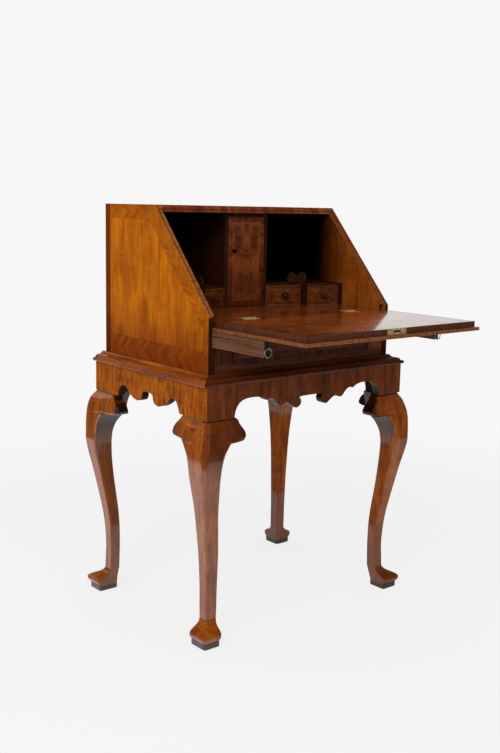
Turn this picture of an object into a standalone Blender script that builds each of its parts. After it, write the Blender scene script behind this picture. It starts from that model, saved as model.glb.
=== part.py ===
"""Slope-front bureau on a cabriole-leg stand, shown with its fall resting on the lopers."""

import math

import bmesh
import bpy
from mathutils import Matrix, Vector

# Sizes are in metres. The front of the bureau faces -Y and up is +Z.
# Inside this file y = 0 is the back of the case and x = 0 its middle.

# Driving sizes. The stand takes up any change of the total height.
case_width = 0.583
case_depth = 0.4276
top_depth = 0.211
total_height = 1.0
case_height = 0.394
slope_rise_share = 0.6142
writing_drop_share = 0.6421

# Fits
gap = 0.0003
ease = 0.0005
play = 0.001

# Boards of the case
side_thickness = 0.020
top_thickness = 0.016
bed_thickness = 0.0217
bottom_thickness = 0.021
bottom_rise = 0.0415
back_thickness = 0.008
back_lap = 0.0095
board_bevel = 0.0006

# Fall
pin_inset = 0.0126
fall_setback = 0.01978
panel_thickness = 0.014
lip_thickness = 0.0075
lip_overhang = 0.0085
panel_side_play = 0.0014

# Fall hinges
hinge_offset = 0.1626
hinge_width = 0.036
hinge_leaf_length = 0.019
hinge_leaf_thickness = 0.0014
hinge_barrel_radius = 0.0022
hinge_pin_radius = 0.0009
hinge_knuckle_width = 0.010

# Lock of the fall
lock_plate_width = 0.060
lock_plate_thickness = 0.0012
bolt_width = 0.022
bolt_length = 0.030
bolt_thickness = 0.004
bolt_depth = 0.0045
bolt_travel = 0.010

# Lopers
loper_inset = 0.011
loper_width = 0.015
loper_height = 0.035
loper_length = 0.370
loper_travel = 0.175
loper_proud = 0.0024

# Rings of the lopers
eye_drop = 0.0375
eye_offset = 0.0045
eye_radius = 0.0027
eye_wire = 0.0009
eye_shank = 0.010
ring_radius = 0.0096
ring_wire = 0.0011

# Long drawer and its opening
opening_inset = 0.053
stile_depth = 0.025
guide_step = 0.002
drawer_lip = 0.0028
drawer_lip_thickness = 0.004
drawer_drop = 0.0025
drawer_top_drop = 0.0235
drawer_front_thickness = 0.016
drawer_wall = 0.009
drawer_floor = 0.006
drawer_length = 0.385
drawer_rim_drop = 0.004
drawer_knob_offset = 0.135
drawer_knob_rise = 0.047

# Interior
cupboard_half = 0.0695
cupboard_wall = 0.011
cupboard_setback = 0.0097
door_thickness = 0.012
door_clearance = 0.0015
door_head_drop = 0.026
divider_middle = 0.170
divider_thickness = 0.007
partition_thickness = 0.005
pilaster_width = 0.016
shelf_rise = 0.057
shelf_thickness = 0.006
inner_bay_steps = (-0.0085, 0.0185)
outer_bay_steps = (0.0380, 0.0675)
small_drawer_wall = 0.004
small_drawer_face = 0.009
small_drawer_floor = 0.004
small_drawer_back = 0.030

# Knobs: half outline from the tip to the foot, in shares of the knob's radius
knob_radius = 0.0088
knob_shape_shares = (
    (0.0, 2.10), (0.45, 2.06), (0.82, 1.82), (1.0, 1.45), (0.92, 1.08), (0.62, 0.78), (0.42, 0.52), (0.42, 0.30),
    (0.72, 0.14), (0.72, 0.0))
brass_knob_radius = 0.0058
door_knob_offset = 0.043
door_knob_drop = 0.085

# Hinges of the cupboard door
door_pin_offset = 0.0022
door_barrel_radius = 0.0017
door_hinge_pin_radius = 0.0007
door_leaf_height = 0.014
door_leaf_length = 0.008
door_leaf_thickness = 0.0008
upper_hinge_drop = 0.012
lower_hinge_rise = 0.0315
pin_start_share = 0.25
bore_start_share = 0.2
bore_end_share = 1.2

# Stand
frieze_side_step = 0.0249
frieze_front_step = 0.0308
frieze_back_step = 0.0084
apron_thickness = 0.020
post_side = 0.0440

# The leg, ear and apron tables below are drawn for a stand of this height and size
drawn_case_foot = 0.606
drawn_half_width = 0.3164
drawn_half_depth = 0.2334
drawn_apron_foot = 0.5307

# Leg: level, distance of the outer corner beyond the frieze, side of the square section
leg_sections = (
    (0.000, 0.0092, 0.0438), (0.002, 0.0096, 0.0446), (0.0125, 0.0096, 0.0446), (0.0140, 0.0090, 0.0440),
    (0.0160, 0.0118, 0.0472), (0.0195, 0.0142, 0.0504), (0.0235, 0.0156, 0.0526), (0.0275, 0.0158, 0.0536),
    (0.0310, 0.0138, 0.0524), (0.0338, 0.0100, 0.0491), (0.0370, 0.0040, 0.0438), (0.0405, -0.0035, 0.0370),
    (0.0440, -0.0095, 0.0318), (0.0490, -0.0150, 0.0273), (0.0560, -0.0180, 0.0258), (0.078, -0.0183, 0.0262),
    (0.115, -0.0191, 0.0263), (0.160, -0.0176, 0.0277), (0.205, -0.0137, 0.0296), (0.250, -0.0070, 0.0322),
    (0.295, 0.0005, 0.0352), (0.335, 0.0076, 0.0389), (0.375, 0.0157, 0.0449), (0.405, 0.0205, 0.0498),
    (0.430, 0.0227, 0.0550), (0.446, 0.0228, 0.0600), (0.460, 0.0222, 0.0668), (0.470, 0.0209, 0.0732),
    (0.4772, 0.0198, 0.0780))
outer_round_share = 0.16
edge_round_share = 0.10

# Knee with its scrolled ears: the same three values, then how far the front ear and the side ear reach inward
# from the frieze corner
knee_sections = (
    (0.4784, 0.0196, 0.0780, 0.0886, 0.0640), (0.4798, 0.0193, 0.0776, 0.0985, 0.0740),
    (0.4812, 0.0189, 0.0770, 0.1010, 0.1017), (0.4845, 0.0180, 0.0758, 0.1036, 0.1125),
    (0.4895, 0.0164, 0.0740, 0.1044, 0.1150),
    (0.4950, 0.0145, 0.0730, 0.1032, 0.1137), (0.5030, 0.0117, 0.0712, 0.0984, 0.1098),
    (0.5110, 0.0086, 0.0695, 0.0912, 0.1022), (0.5165, 0.0056, 0.0680, 0.0868, 0.0955),
    (0.5220, 0.0026, 0.0665, 0.0857, 0.0910), (0.5270, 0.0000, 0.0648, 0.0818, 0.0888),
    (0.5304, -0.0020, 0.0633, 0.0790, 0.0885))
ear_thickness = 0.024
ear_proud_share = 0.55
face_shares = (0.4, 0.75)
square_back_shares = (0.45, 0.75)

# Lower edge of the aprons: distance from the middle and level. A third value of 1 marks a sharp corner.
front_apron_edge = (
    (0.0, 0.5585), (0.026, 0.5582), (0.035, 0.5575), (0.0385, 0.5555, 1), (0.0345, 0.5505), (0.0335, 0.5440),
    (0.0375, 0.5360), (0.0486, 0.5316), (0.0580, 0.5360), (0.0700, 0.5440), (0.0820, 0.5480), (0.0900, 0.5450, 1),
    (0.0980, 0.5425), (0.1060, 0.5460), (0.1140, 0.5545), (0.1240, 0.5618), (0.1340, 0.5632), (0.1420, 0.5605, 1),
    (0.1500, 0.5660), (0.1650, 0.5705), (0.1850, 0.5718), (0.2020, 0.5708), (0.2150, 0.5672), (0.2235, 0.5620),
    (0.2298, 0.5545), (0.2338, 0.5460), (0.2360, 0.5380), (0.2368, drawn_apron_foot, 1), (drawn_half_width, drawn_apron_foot))
side_apron_edge = (
    (0.0, 0.5606), (0.012, 0.5598), (0.0205, 0.5560), (0.0225, 0.5520, 1), (0.0235, 0.5450), (0.0300, 0.5365),
    (0.0430, 0.5332), (0.0540, 0.5348), (0.0650, 0.5388), (0.0750, 0.5440), (0.0850, 0.5510), (0.0930, 0.5595),
    (0.1000, 0.5622, 1), (0.1090, 0.5615), (0.1165, 0.5575), (0.1222, 0.5500), (0.1262, 0.5415),
    (0.1290, 0.5345), (0.1300, drawn_apron_foot, 1),
    (drawn_half_depth, drawn_apron_foot))

# Base moulding: distance out from the case and rise above its foot
moulding_shape = (
    (0.0, 0.0003), (0.0310, 0.0003), (0.0328, 0.0018), (0.0334, 0.0045), (0.0326, 0.0072), (0.0304, 0.0090),
    (0.0268, 0.0092), (0.0262, 0.0106), (0.0250, 0.0130), (0.0215, 0.0152), (0.0165, 0.0162), (0.0115, 0.0176),
    (0.0080, 0.0198), (0.0066, 0.0216), (0.0060, 0.0235), (0.0, 0.0235))

# Front edge of a letter partition, in shares of its height: distance in front of the top's front edge, then rise
partition_edge_shares = (
    (0.128, 0.000), (0.178, 0.032), (0.184, 0.087), (0.148, 0.140), (0.098, 0.160), (0.039, 0.135),
    (-0.017, 0.060, 1), (-0.067, 0.107), (-0.128, 0.135), (-0.184, 0.113), (-0.229, 0.077, 1),
    (-0.307, 0.171), (-0.373, 0.339), (-0.385, 0.534), (-0.318, 0.729), (-0.195, 0.863),
    (-0.078, 0.918, 1), (-0.061, 1.0))

# Numbers of steps along curves
turn_steps = 20
ring_steps = 28
wire_steps = 2
smooth_steps = 3
corner_steps = 3

# Angles and shares that the builders use
quarter_turn = math.pi / 2
sharp_angle = math.radians(35)
bevel_angle = math.radians(50)
recess_share = 0.25
mitre_length_share = 4.0
mitre_height_share = 3.0

# Colours as sRGB, then roughness and metallic
finishes = {
    "walnut": ((184, 101, 32), 0.38, 0.0),
    "fall walnut": ((126, 52, 22), 0.30, 0.0),
    "stand walnut": ((112, 54, 28), 0.34, 0.0),
    "dark walnut": ((66, 32, 18), 0.40, 0.0),
    "lining": ((120, 78, 42), 0.60, 0.0),
    "brass": ((170, 138, 84), 0.35, 1.0),
    "iron": ((92, 84, 76), 0.45, 1.0),
}

# Sizes that follow from the ones above
case_half = case_width / 2
inner_half = case_half - side_thickness
case_foot = total_height - case_height
slope_rise = case_height * slope_rise_share
slope_foot = total_height - slope_rise
writing_level = total_height - case_height * writing_drop_share
bottom_level = case_foot + bottom_rise
top_underside = total_height - top_thickness
bed_underside = writing_level - bed_thickness
slope_run = case_depth - top_depth
slope_angle = math.atan2(slope_rise, slope_run)
inner_back = -back_thickness - play
pin_depth = case_depth - pin_inset
fall_reach = math.hypot(slope_run, slope_rise) - fall_setback
loper_outer = case_half - loper_inset
loper_inner = loper_outer - loper_width
groove_outer = loper_outer + ease
loper_top = writing_level - panel_thickness - lip_thickness - ease
loper_foot = loper_top - loper_height
loper_reach = case_depth + loper_proud + loper_travel
eye_level = writing_level - eye_drop
opening_half = inner_half - opening_inset
drawer_foot = bottom_level - drawer_drop
drawer_top = writing_level - drawer_top_drop
cupboard_front = top_depth - cupboard_setback
door_level = writing_level + door_clearance
door_head = total_height - door_head_drop
shelf_top = writing_level + shelf_rise
shelf_foot = shelf_top - shelf_thickness
inner_bay_front = [top_depth + step for step in inner_bay_steps]
outer_bay_front = [top_depth + step for step in outer_bay_steps]
door_hinge_levels = (door_head - upper_hinge_drop, door_level + lower_hinge_rise)
partition_height = top_underside - gap * 2 - shelf_top
panel_half = inner_half - panel_side_play
lip_half = panel_half + lip_overhang
fall_back = -pin_depth - ease
panel_end = -pin_depth - fall_reach
frieze_half_width = case_half + frieze_side_step
frieze_half_depth = (case_depth + frieze_front_step + frieze_back_step) / 2
stand_middle = (case_depth + frieze_front_step - frieze_back_step) / 2
stand_front = -stand_middle - frieze_half_depth
stand_back = -stand_middle + frieze_half_depth
stand_share = case_foot / drawn_case_foot
width_share = frieze_half_width / drawn_half_width
depth_share = frieze_half_depth / drawn_half_depth
apron_foot = drawn_apron_foot * stand_share
post_corner = apron_thickness + gap
# The ground point under the middle of the whole bounding box, where the origin goes
back_reach = stand_back + max(section[1] for section in leg_sections)
front_reach = panel_end - lip_overhang
origin_shift = -(back_reach + front_reach) / 2

# Scene

for old in list(bpy.data.objects):
    bpy.data.objects.remove(old, do_unlink=True)

parts = bpy.data.collections.new("bureau_on_stand")
bpy.context.scene.collection.children.link(parts)
cutters = bpy.data.collections.new("cutters")
bpy.context.scene.collection.children.link(cutters)

root = bpy.data.objects.new("bureau_root", None)
root.location = (0.0, origin_shift, 0.0)
parts.objects.link(root)


def linear(channel):
    """One sRGB channel from 0 to 255 as a linear value."""
    share = channel / 255
    if share <= 0.04045:
        return share / 12.92
    return ((share + 0.055) / 1.055) ** 2.4


def material(name, finish):
    colour, roughness, metallic = finishes[finish]
    made = bpy.data.materials.new(name)
    made.use_nodes = True
    shader = made.node_tree.nodes["Principled BSDF"]
    shader.inputs["Base Color"].default_value = (*[linear(channel) for channel in colour], 1.0)
    shader.inputs["Roughness"].default_value = roughness
    shader.inputs["Metallic"].default_value = metallic
    return made


def pivot(name, place, parent=root):
    """An empty on a joint's axis. Its place is given in the file's frame."""
    made = bpy.data.objects.new(name, None)
    parts.objects.link(made)
    hold(made, parent)
    base = Vector(parent["place"]) if parent is not root else Vector()
    made.location = Vector(place) - base
    made["place"] = list(place)
    return made


def hold(item, parent):
    item.parent = parent


def finish_part(item, name, finish, parent=root, rounded=False):
    """Names a part, colours it and hangs it on its parent without moving it."""
    item.name = name
    item.data.name = name
    item.data.materials.clear()
    item.data.materials.append(material(name, finish))
    if item.name not in parts.objects:
        parts.objects.link(item)
    base = Vector(parent["place"]) if parent is not root else Vector()
    item.location = item.location - base
    hold(item, parent)
    if rounded:
        item.data.shade_smooth()
        item.data.set_sharp_from_angle(angle=sharp_angle)
    return item


def from_bmesh(name, mesh_maker, place=(0.0, 0.0, 0.0)):
    built = bmesh.new()
    mesh_maker(built)
    bmesh.ops.recalc_face_normals(built, faces=built.faces)
    mesh = bpy.data.meshes.new(name)
    built.to_mesh(mesh)
    built.free()
    made = bpy.data.objects.new(name, mesh)
    made.location = place
    return made


def bevel(item, width=board_bevel):
    """Small chamfers on the arrises of a board."""
    edges = item.modifiers.new("edges", "BEVEL")
    edges.width = width
    edges.segments = 1
    edges.limit_method = "ANGLE"
    edges.angle_limit = bevel_angle
    return item


def block(name, low, high):
    """A box between two opposite corners, with its origin in the middle."""
    low = Vector(low)
    high = Vector(high)
    size = high - low

    def cube(built):
        bmesh.ops.create_cube(built, size=1.0)
        bmesh.ops.scale(built, vec=size, verts=built.verts)

    return from_bmesh(name, cube, (low + high) / 2)


def rod(name, start, end, radius, steps=turn_steps):
    """A round bar from one point to another."""
    start = Vector(start)
    end = Vector(end)
    along = end - start

    def cylinder(built):
        bmesh.ops.create_cone(
            built, cap_ends=True, segments=steps, radius1=radius, radius2=radius, depth=along.length)

    made = from_bmesh(name, cylinder, (start + end) / 2)
    turn = along.to_track_quat("Z", "Y").to_matrix().to_4x4()
    made.data.transform(turn)
    return made


def settle(item):
    """The evaluated mesh of a curve or a modified object as a plain object at the origin."""
    holder = bpy.context.scene.collection
    holder.objects.link(item)
    graph = bpy.context.evaluated_depsgraph_get()
    mesh = bpy.data.meshes.new_from_object(item.evaluated_get(graph))
    mesh.transform(item.matrix_world)
    made = bpy.data.objects.new(item.name, mesh)
    bpy.data.objects.remove(item, do_unlink=True)
    cleaned = bmesh.new()
    cleaned.from_mesh(mesh)
    bmesh.ops.remove_doubles(cleaned, verts=cleaned.verts, dist=gap / 10)
    bmesh.ops.recalc_face_normals(cleaned, faces=cleaned.faces)
    cleaned.to_mesh(mesh)
    cleaned.free()
    return made


def plate(name, outline, low, high, across):
    """A flat outline sawn from a board. Across is the axis that the thickness runs along, from low to high."""
    flat = bpy.data.curves.new(name, "CURVE")
    flat.dimensions = "2D"
    flat.fill_mode = "BOTH"
    flat.extrude = abs(high - low) / 2
    line = flat.splines.new("POLY")
    line.points.add(len(outline) - 1)
    for point, (first, second) in zip(line.points, outline):
        point.co = (first, second, 0.0, 1.0)
    line.use_cyclic_u = True
    made = bpy.data.objects.new(name, flat)
    middle = (low + high) / 2
    if across == "x":
        made.matrix_world = Matrix(((0, 0, 1, middle), (1, 0, 0, 0), (0, 1, 0, 0), (0, 0, 0, 1)))
    elif across == "y":
        made.matrix_world = Matrix(((1, 0, 0, 0), (0, 0, -1, middle), (0, 1, 0, 0), (0, 0, 0, 1)))
    else:
        made.matrix_world = Matrix.Translation((0.0, 0.0, middle))
    return settle(made)


def smoothed(points):
    """A rounded line through the points, with corners kept where a third value says so."""
    corners = [0]
    for number, point in enumerate(points):
        if len(point) == 3 and 0 < number < len(points) - 1:
            corners.append(number)
    corners.append(len(points) - 1)
    line = [Vector(points[0][:2])]
    for start, end in zip(corners, corners[1:]):
        run = [Vector(point[:2]) for point in points[start:end + 1]]
        if len(run) == 2:
            line.append(run[1])
            continue
        ends = [2 * run[0] - run[1]] + run + [2 * run[-1] - run[-2]]
        for before, here, there, after in zip(ends, ends[1:], ends[2:], ends[3:]):
            for step in range(1, smooth_steps + 1):
                share = step / smooth_steps
                line.append(curve_point(before, here, there, after, share))
    return [(point.x, point.y) for point in line]


def curve_point(before, here, there, after, share):
    """A Catmull-Rom curve between here and there."""
    first = (there - before) / 2
    second = (after - here) / 2
    return (
        here * (2 * share ** 3 - 3 * share ** 2 + 1)
        + first * (share ** 3 - 2 * share ** 2 + share)
        + there * (3 * share ** 2 - 2 * share ** 3)
        + second * (share ** 3 - share ** 2))


def boolean(item, tool, kind):
    """Cuts the tool from the item, or joins it on, and keeps the result as a plain mesh."""
    cutters.objects.link(tool)
    tool.hide_render = True
    tool.display_type = "WIRE"
    step = item.modifiers.new("shape", "BOOLEAN")
    step.operation = kind
    step.solver = "EXACT"
    step.object = tool
    bpy.context.view_layer.update()
    made = settle(item)
    bpy.data.objects.remove(tool, do_unlink=True)
    return made


def cut(item, *tools):
    for tool in tools:
        item = boolean(item, tool, "DIFFERENCE")
    return item


def join(item, *tools):
    for tool in tools:
        item = boolean(item, tool, "UNION")
    return item


def mirrored(item):
    """The same solid for the other side of the bureau."""
    mesh = item.data.copy()
    mesh.transform(Matrix.Translation(item.location))
    mesh.transform(Matrix.Diagonal((-1.0, 1.0, 1.0, 1.0)))
    mesh.flip_normals()
    return bpy.data.objects.new(item.name, mesh)


def turned(name, shape, place, radius, turn=0.0):
    """A knob on an axis that points to the front from its place, or to one side by the turn in radians."""
    line = bpy.data.meshes.new(name)
    points = [(share_out * radius, 0.0, share_up * radius) for share_out, share_up in shape]
    line.from_pydata(points, [(number, number + 1) for number in range(len(points) - 1)], [])
    made = bpy.data.objects.new(name, line)
    spin = made.modifiers.new("turning", "SCREW")
    spin.steps = turn_steps
    spin.render_steps = turn_steps
    spin.use_merge_vertices = True
    spin.merge_threshold = 0.0001
    spin.use_normal_calculate = True
    made.matrix_world = (
        Matrix.Translation(place) @ Matrix.Rotation(turn, 4, "Z") @ Matrix.Rotation(quarter_turn, 4, "X"))
    made = settle(made)
    return closed(made)


def closed(item):
    """Caps any open rim of a turned or swept shape."""
    built = bmesh.new()
    built.from_mesh(item.data)
    rims = [edge for edge in built.edges if edge.is_boundary]
    if rims:
        bmesh.ops.holes_fill(built, edges=rims)
    bmesh.ops.recalc_face_normals(built, faces=built.faces)
    built.to_mesh(item.data)
    built.free()
    return item


def wire_ring(name, centre, radius, wire, normal, steps=ring_steps):
    """A closed ring of round wire."""
    path = bpy.data.curves.new(name, "CURVE")
    path.dimensions = "3D"
    path.bevel_depth = wire
    path.bevel_resolution = wire_steps
    line = path.splines.new("POLY")
    line.points.add(steps - 1)
    for number, point in enumerate(line.points):
        angle = 2 * math.pi * number / steps
        reach = radius * math.cos(angle)
        rise = radius * math.sin(angle)
        if normal == "x":
            spot = (0.0, reach, rise)
        else:
            spot = (reach, 0.0, rise)
        point.co = (*spot, 1.0)
    line.use_cyclic_u = True
    made = bpy.data.objects.new(name, path)
    made.location = centre
    bpy.context.view_layer.update()
    made.matrix_world = Matrix.Translation(centre)
    return settle(made)


def loft(name, rings):
    """A solid skin through rings of points, closed at both ends."""

    def skin(built):
        rows = [[built.verts.new(point) for point in ring] for ring in rings]
        count = len(rows[0])
        for below, above in zip(rows, rows[1:]):
            for number in range(count):
                follow = (number + 1) % count
                built.faces.new((below[number], below[follow], above[follow], above[number]))
        built.faces.new(rows[0])
        built.faces.new(rows[-1])

    return from_bmesh(name, skin)


def slope_place(along, out):
    """A (y, z) place in the frame of the shut fall: along the slope from the pin, and out from its inner face."""
    run = math.cos(slope_angle)
    rise = math.sin(slope_angle)
    return (-pin_depth + along * run - out * rise, writing_level + along * rise + out * run)


def slope_distance():
    """Distance of the slope's outer line from the pin."""
    run = math.cos(slope_angle)
    rise = math.sin(slope_angle)
    return (case_depth - pin_depth) * rise + (slope_foot - writing_level) * run


# Stand

def leg_ring(side_x, side_y, level, beyond, side, reaches=None, back=None):
    """One section of a leg, given from its frieze corner inward. Side_x and side_y are the signs of that corner.

    Reaches are the ends of the front and side ears, where the section is an angle instead of a square. Back is
    where the ears' inner faces meet the core.
    """
    core = side - beyond
    round_outer = side * outer_round_share
    round_edge = side * edge_round_share
    proud = beyond
    if reaches is None:
        reaches = (core, core)
        if back is None:
            back = [share * side - beyond for share in square_back_shares]
    else:
        proud = min(beyond, beyond * ear_proud_share)
        back = (ear_thickness, ear_thickness + play)

    def half(reach, ear_back):
        """Half of the section, from the outer corner along one face and round its end."""
        first = round_outer - beyond
        last = reach - round_edge
        points = [(first, -beyond)]
        for share in face_shares:
            points.append((first + (last - first) * share, -(beyond - (beyond - proud) * share ** 2)))
        points += [(last, -proud), (reach, round_edge - proud), (reach, ear_back[0])]
        points.append((core, ear_back[1]))
        points.append((core, core - round_edge))
        return points

    backs = [back if reach > core else [share * side - beyond for share in square_back_shares] for reach in reaches]
    if reaches == (core, core):
        backs = [back, back]
    front = half(reaches[0], backs[0])
    flank = [(second, first) for first, second in half(reaches[1], backs[1])]
    corner = []
    for step in (2, 1):
        angle = math.pi + quarter_turn * step / corner_steps
        corner.append((
            round_outer - beyond + round_outer * math.cos(angle),
            round_outer - beyond + round_outer * math.sin(angle)))
    ring = front + flank[::-1] + corner[::-1]
    return [
        (side_x * (frieze_half_width - first), -stand_middle + side_y * (frieze_half_depth - second), level)
        for first, second in ring]


def build_leg(word, side_y):
    """A leg with its scrolled ears carved in one with the knee: the left one, and its mirror image."""
    rings = []
    for level, beyond, side in leg_sections:
        rings.append(leg_ring(-1, side_y, level * stand_share, beyond, side))
    for level, beyond, side, front_reach_in, side_reach_in in knee_sections:
        reaches = (front_reach_in if side_y < 0 else side - beyond, side_reach_in)
        rings.append(leg_ring(-1, side_y, level * stand_share, beyond, side, reaches))
    shoulder = knee_sections[-1][0] * stand_share
    back = (ear_thickness - gap, ear_thickness + post_corner / 2)
    for level in (shoulder, case_foot - gap):
        rings.append(leg_ring(-1, side_y, level, -post_corner, post_side, None, back))
    leg = settle(loft("leg", rings))
    finish_part(mirrored(leg), "leg_" + word + "_right", "stand walnut", rounded=True)
    finish_part(leg, "leg_" + word + "_left", "stand walnut", rounded=True)


def mitre(side_x, side_y, across):
    """A cutter for the mitred end of a frieze board. Across is 1 for a front or back board, -1 for a side."""
    reach = apron_thickness * mitre_length_share
    height = (case_foot - apron_foot) * mitre_height_share
    tool = block("mitre", (0.0, -reach, -height), (reach, reach, height))
    turn = math.atan2(-side_y * across, side_x * across)
    corner = (side_x * frieze_half_width, -stand_middle + side_y * frieze_half_depth, apron_foot)
    tool.matrix_world = (
        Matrix.Translation(corner)
        @ Matrix.Rotation(turn, 4, "Z")
        @ Matrix.Translation((reach / 2 - gap / 2, 0.0, 0.0)))
    return settle(tool)


def apron_outline(edge, middle, stretch):
    """A board with a shaped lower edge, alike on both sides of its middle."""
    half = [(away * stretch, level * stand_share) for away, level in smoothed(edge)]
    lower = [(middle - away, level) for away, level in reversed(half)]
    lower += [(middle + away, level) for away, level in half[1:]]
    end = half[-1][0]
    top = case_foot - gap
    return lower + [(middle + end, top), (middle - end, top)]


def build_aprons():
    front = plate(
        "apron", apron_outline(front_apron_edge, 0.0, width_share), stand_front, stand_front + apron_thickness, "y")
    finish_part(cut(front, mitre(1, -1, 1), mitre(-1, -1, 1)), "apron_front", "stand walnut")
    left = plate(
        "apron", apron_outline(side_apron_edge, -stand_middle, depth_share),
        -frieze_half_width, -frieze_half_width + apron_thickness, "x")
    left = cut(left, mitre(-1, -1, -1), mitre(-1, 1, -1))
    finish_part(mirrored(left), "apron_right", "stand walnut")
    finish_part(left, "apron_left", "stand walnut")
    back = settle(block(
        "rail", (-frieze_half_width, stand_back - apron_thickness, apron_foot),
        (frieze_half_width, stand_back, case_foot - gap)))
    finish_part(cut(back, mitre(1, 1, 1), mitre(-1, 1, 1)), "back_rail", "stand walnut")


def build_mouldings():
    """Three lengths of one moulding, mitred at the front corners."""
    clear = gap / 2

    def corner(side, out, rise):
        return (side * (case_half + gap + out), -(case_depth + gap + out), case_foot + rise)

    front = []
    for side in (-1, 1):
        front.append([
            Vector(corner(side, out, rise)) - Vector((side * clear, 0.0, 0.0)) for out, rise in moulding_shape])
    finish_part(loft("moulding", front), "moulding_front", "stand walnut")
    for side, name in ((-1, "moulding_left"), (1, "moulding_right")):
        ends = [
            [Vector(corner(side, out, rise)) + Vector((0.0, clear, 0.0)) for out, rise in moulding_shape],
            [Vector((corner(side, out, rise)[0], stand_back, case_foot + rise)) for out, rise in moulding_shape]]
        finish_part(loft("moulding", ends), name, "stand walnut")


# Case

def build_sides():
    outline = [
        (0.0, case_foot), (-case_depth, case_foot), (-case_depth, slope_foot), (-top_depth, total_height),
        (0.0, total_height)]
    board = plate("case_side", outline, -case_half, -inner_half, "x")
    low_x = -groove_outer
    high_x = -inner_half + play
    # The loper runs in a groove
    groove = block(
        "groove", (low_x, -case_depth - play, loper_foot - ease),
        (high_x, -loper_reach + loper_travel + loper_length + play, loper_top + ease))
    # The lip of the open fall turns in a notch at the front
    notch = block(
        "notch", (low_x, -case_depth - play, loper_top - play),
        (high_x, -pin_depth + ease, slope_foot + play))
    # The lip of the shut fall lies in a rebate along the slope
    depth = panel_thickness - ease
    rebate_outline = [
        slope_place(-back_lap, depth), slope_place(fall_reach + lip_overhang + ease, depth),
        slope_place(fall_reach + lip_overhang + ease, depth + back_lap), slope_place(-back_lap, depth + back_lap)]
    rebate = plate("rebate", rebate_outline, low_x, high_x, "x")
    # The back boards lie in a rebate
    back = block(
        "back", (low_x, -back_thickness - play, case_foot - play), (high_x, play, total_height + play))
    board = cut(board, groove, notch, rebate, back)
    finish_part(mirrored(board), "case_side_right", "walnut")
    finish_part(board, "case_side_left", "walnut")


def build_top():
    depth = panel_thickness - ease
    step = fall_reach + lip_overhang + ease
    run = math.cos(slope_angle)
    foot = (top_underside - writing_level - depth * run) / math.sin(slope_angle)
    outline = [
        (inner_back, top_underside), slope_place(foot, depth), slope_place(step, depth),
        slope_place(step, slope_distance()), (-top_depth, total_height), (inner_back, total_height)]
    board = plate("top_board", outline, -inner_half + gap, inner_half - gap, "x")
    finish_part(cut(board, bolt_mortise()), "top_board", "walnut")


def bolt_mortise():
    """The pocket over the shut fall that the lock bolt enters."""
    near = bolt_depth - ease
    far = bolt_depth + bolt_thickness + ease
    start = fall_reach - bolt_travel
    end = fall_reach + bolt_travel + play
    outline = [slope_place(start, near), slope_place(end, near), slope_place(end, far), slope_place(start, far)]
    half = bolt_width / 2 + ease
    return plate("mortise", outline, -half, half, "x")


def build_boards():
    half = inner_half - gap
    bottom = block(
        "bottom_board", (-half, -case_depth, bottom_level - bottom_thickness), (half, inner_back, bottom_level))
    finish_part(bevel(bottom), "bottom_board", "walnut")

    bed = block("writing_bed", (-half, -pin_depth + ease, bed_underside), (half, inner_back, writing_level))
    bed = settle(bed)
    for side in (-1, 1):
        middle = side * hinge_offset
        bed = cut(
            bed,
            hinge_leaf("recess", middle, 1, ease),
            hinge_barrel("recess", middle, hinge_width / 2 + ease, hinge_barrel_radius + ease))
    finish_part(bed, "writing_bed", "fall walnut")

    reach = groove_outer - ease
    back = block(
        "back_board", (-reach, -back_thickness - gap, case_foot + play), (reach, -gap, total_height - play))
    finish_part(back, "back_board", "lining")


def post_outline(side, inner, clear):
    """The L-shaped section beside and under a loper."""
    beside = side * (loper_inner - ease)
    under = side * (inner_half - gap)
    step = loper_foot - ease
    foot = bottom_level + gap
    head = bed_underside - gap
    start = side * (inner + clear)
    return [(start, foot), (under, foot), (under, step), (beside, step), (beside, head), (start, head)]


def build_stiles():
    for side, word in ((-1, "left"), (1, "right")):
        stile = plate(
            "stile", post_outline(side, opening_half, 0.0), -case_depth, -case_depth + stile_depth, "y")
        finish_part(stile, "stile_" + word, "walnut")
        guide = plate(
            "guide", post_outline(side, opening_half, guide_step),
            -case_depth + stile_depth + gap, inner_back - gap, "y")
        finish_part(guide, "guide_" + word, "lining")


# Long drawer

def build_drawer():
    front_y = -case_depth - drawer_lip_thickness
    back_y = front_y + drawer_length
    half = opening_half - play
    foot = bottom_level + gap
    face_back = -case_depth + drawer_front_thickness
    parent = pivot("drawer_slide", (0.0, front_y, (drawer_foot + drawer_top) / 2))
    lip = settle(block(
        "lip", (-half - drawer_lip, front_y, drawer_foot), (half + drawer_lip, -case_depth - gap, drawer_top)))
    body = block(
        "body", (-half, -case_depth - play, foot), (half, face_back, drawer_top - play))
    front = join(lip, settle(body))
    finish_part(front, "drawer_front", "walnut", parent)

    rim = drawer_top - drawer_rim_drop
    inside = half - drawer_wall
    floor = foot + drawer_floor
    box = settle(block("box", (-half, face_back + gap, foot), (half, back_y, rim)))
    hollow = block(
        "hollow", (-inside, face_back + gap + drawer_wall, floor), (inside, back_y - drawer_wall, rim + play))
    finish_part(cut(box, hollow), "drawer_box", "lining", parent)
    for side, word in ((-1, "left"), (1, "right")):
        place = (side * drawer_knob_offset, front_y - gap, drawer_foot + drawer_knob_rise)
        knob = turned("knob", knob_shape_shares, place, brass_knob_radius)
        finish_part(knob, "drawer_knob_" + word, "brass", parent, True)


# Fall

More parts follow.
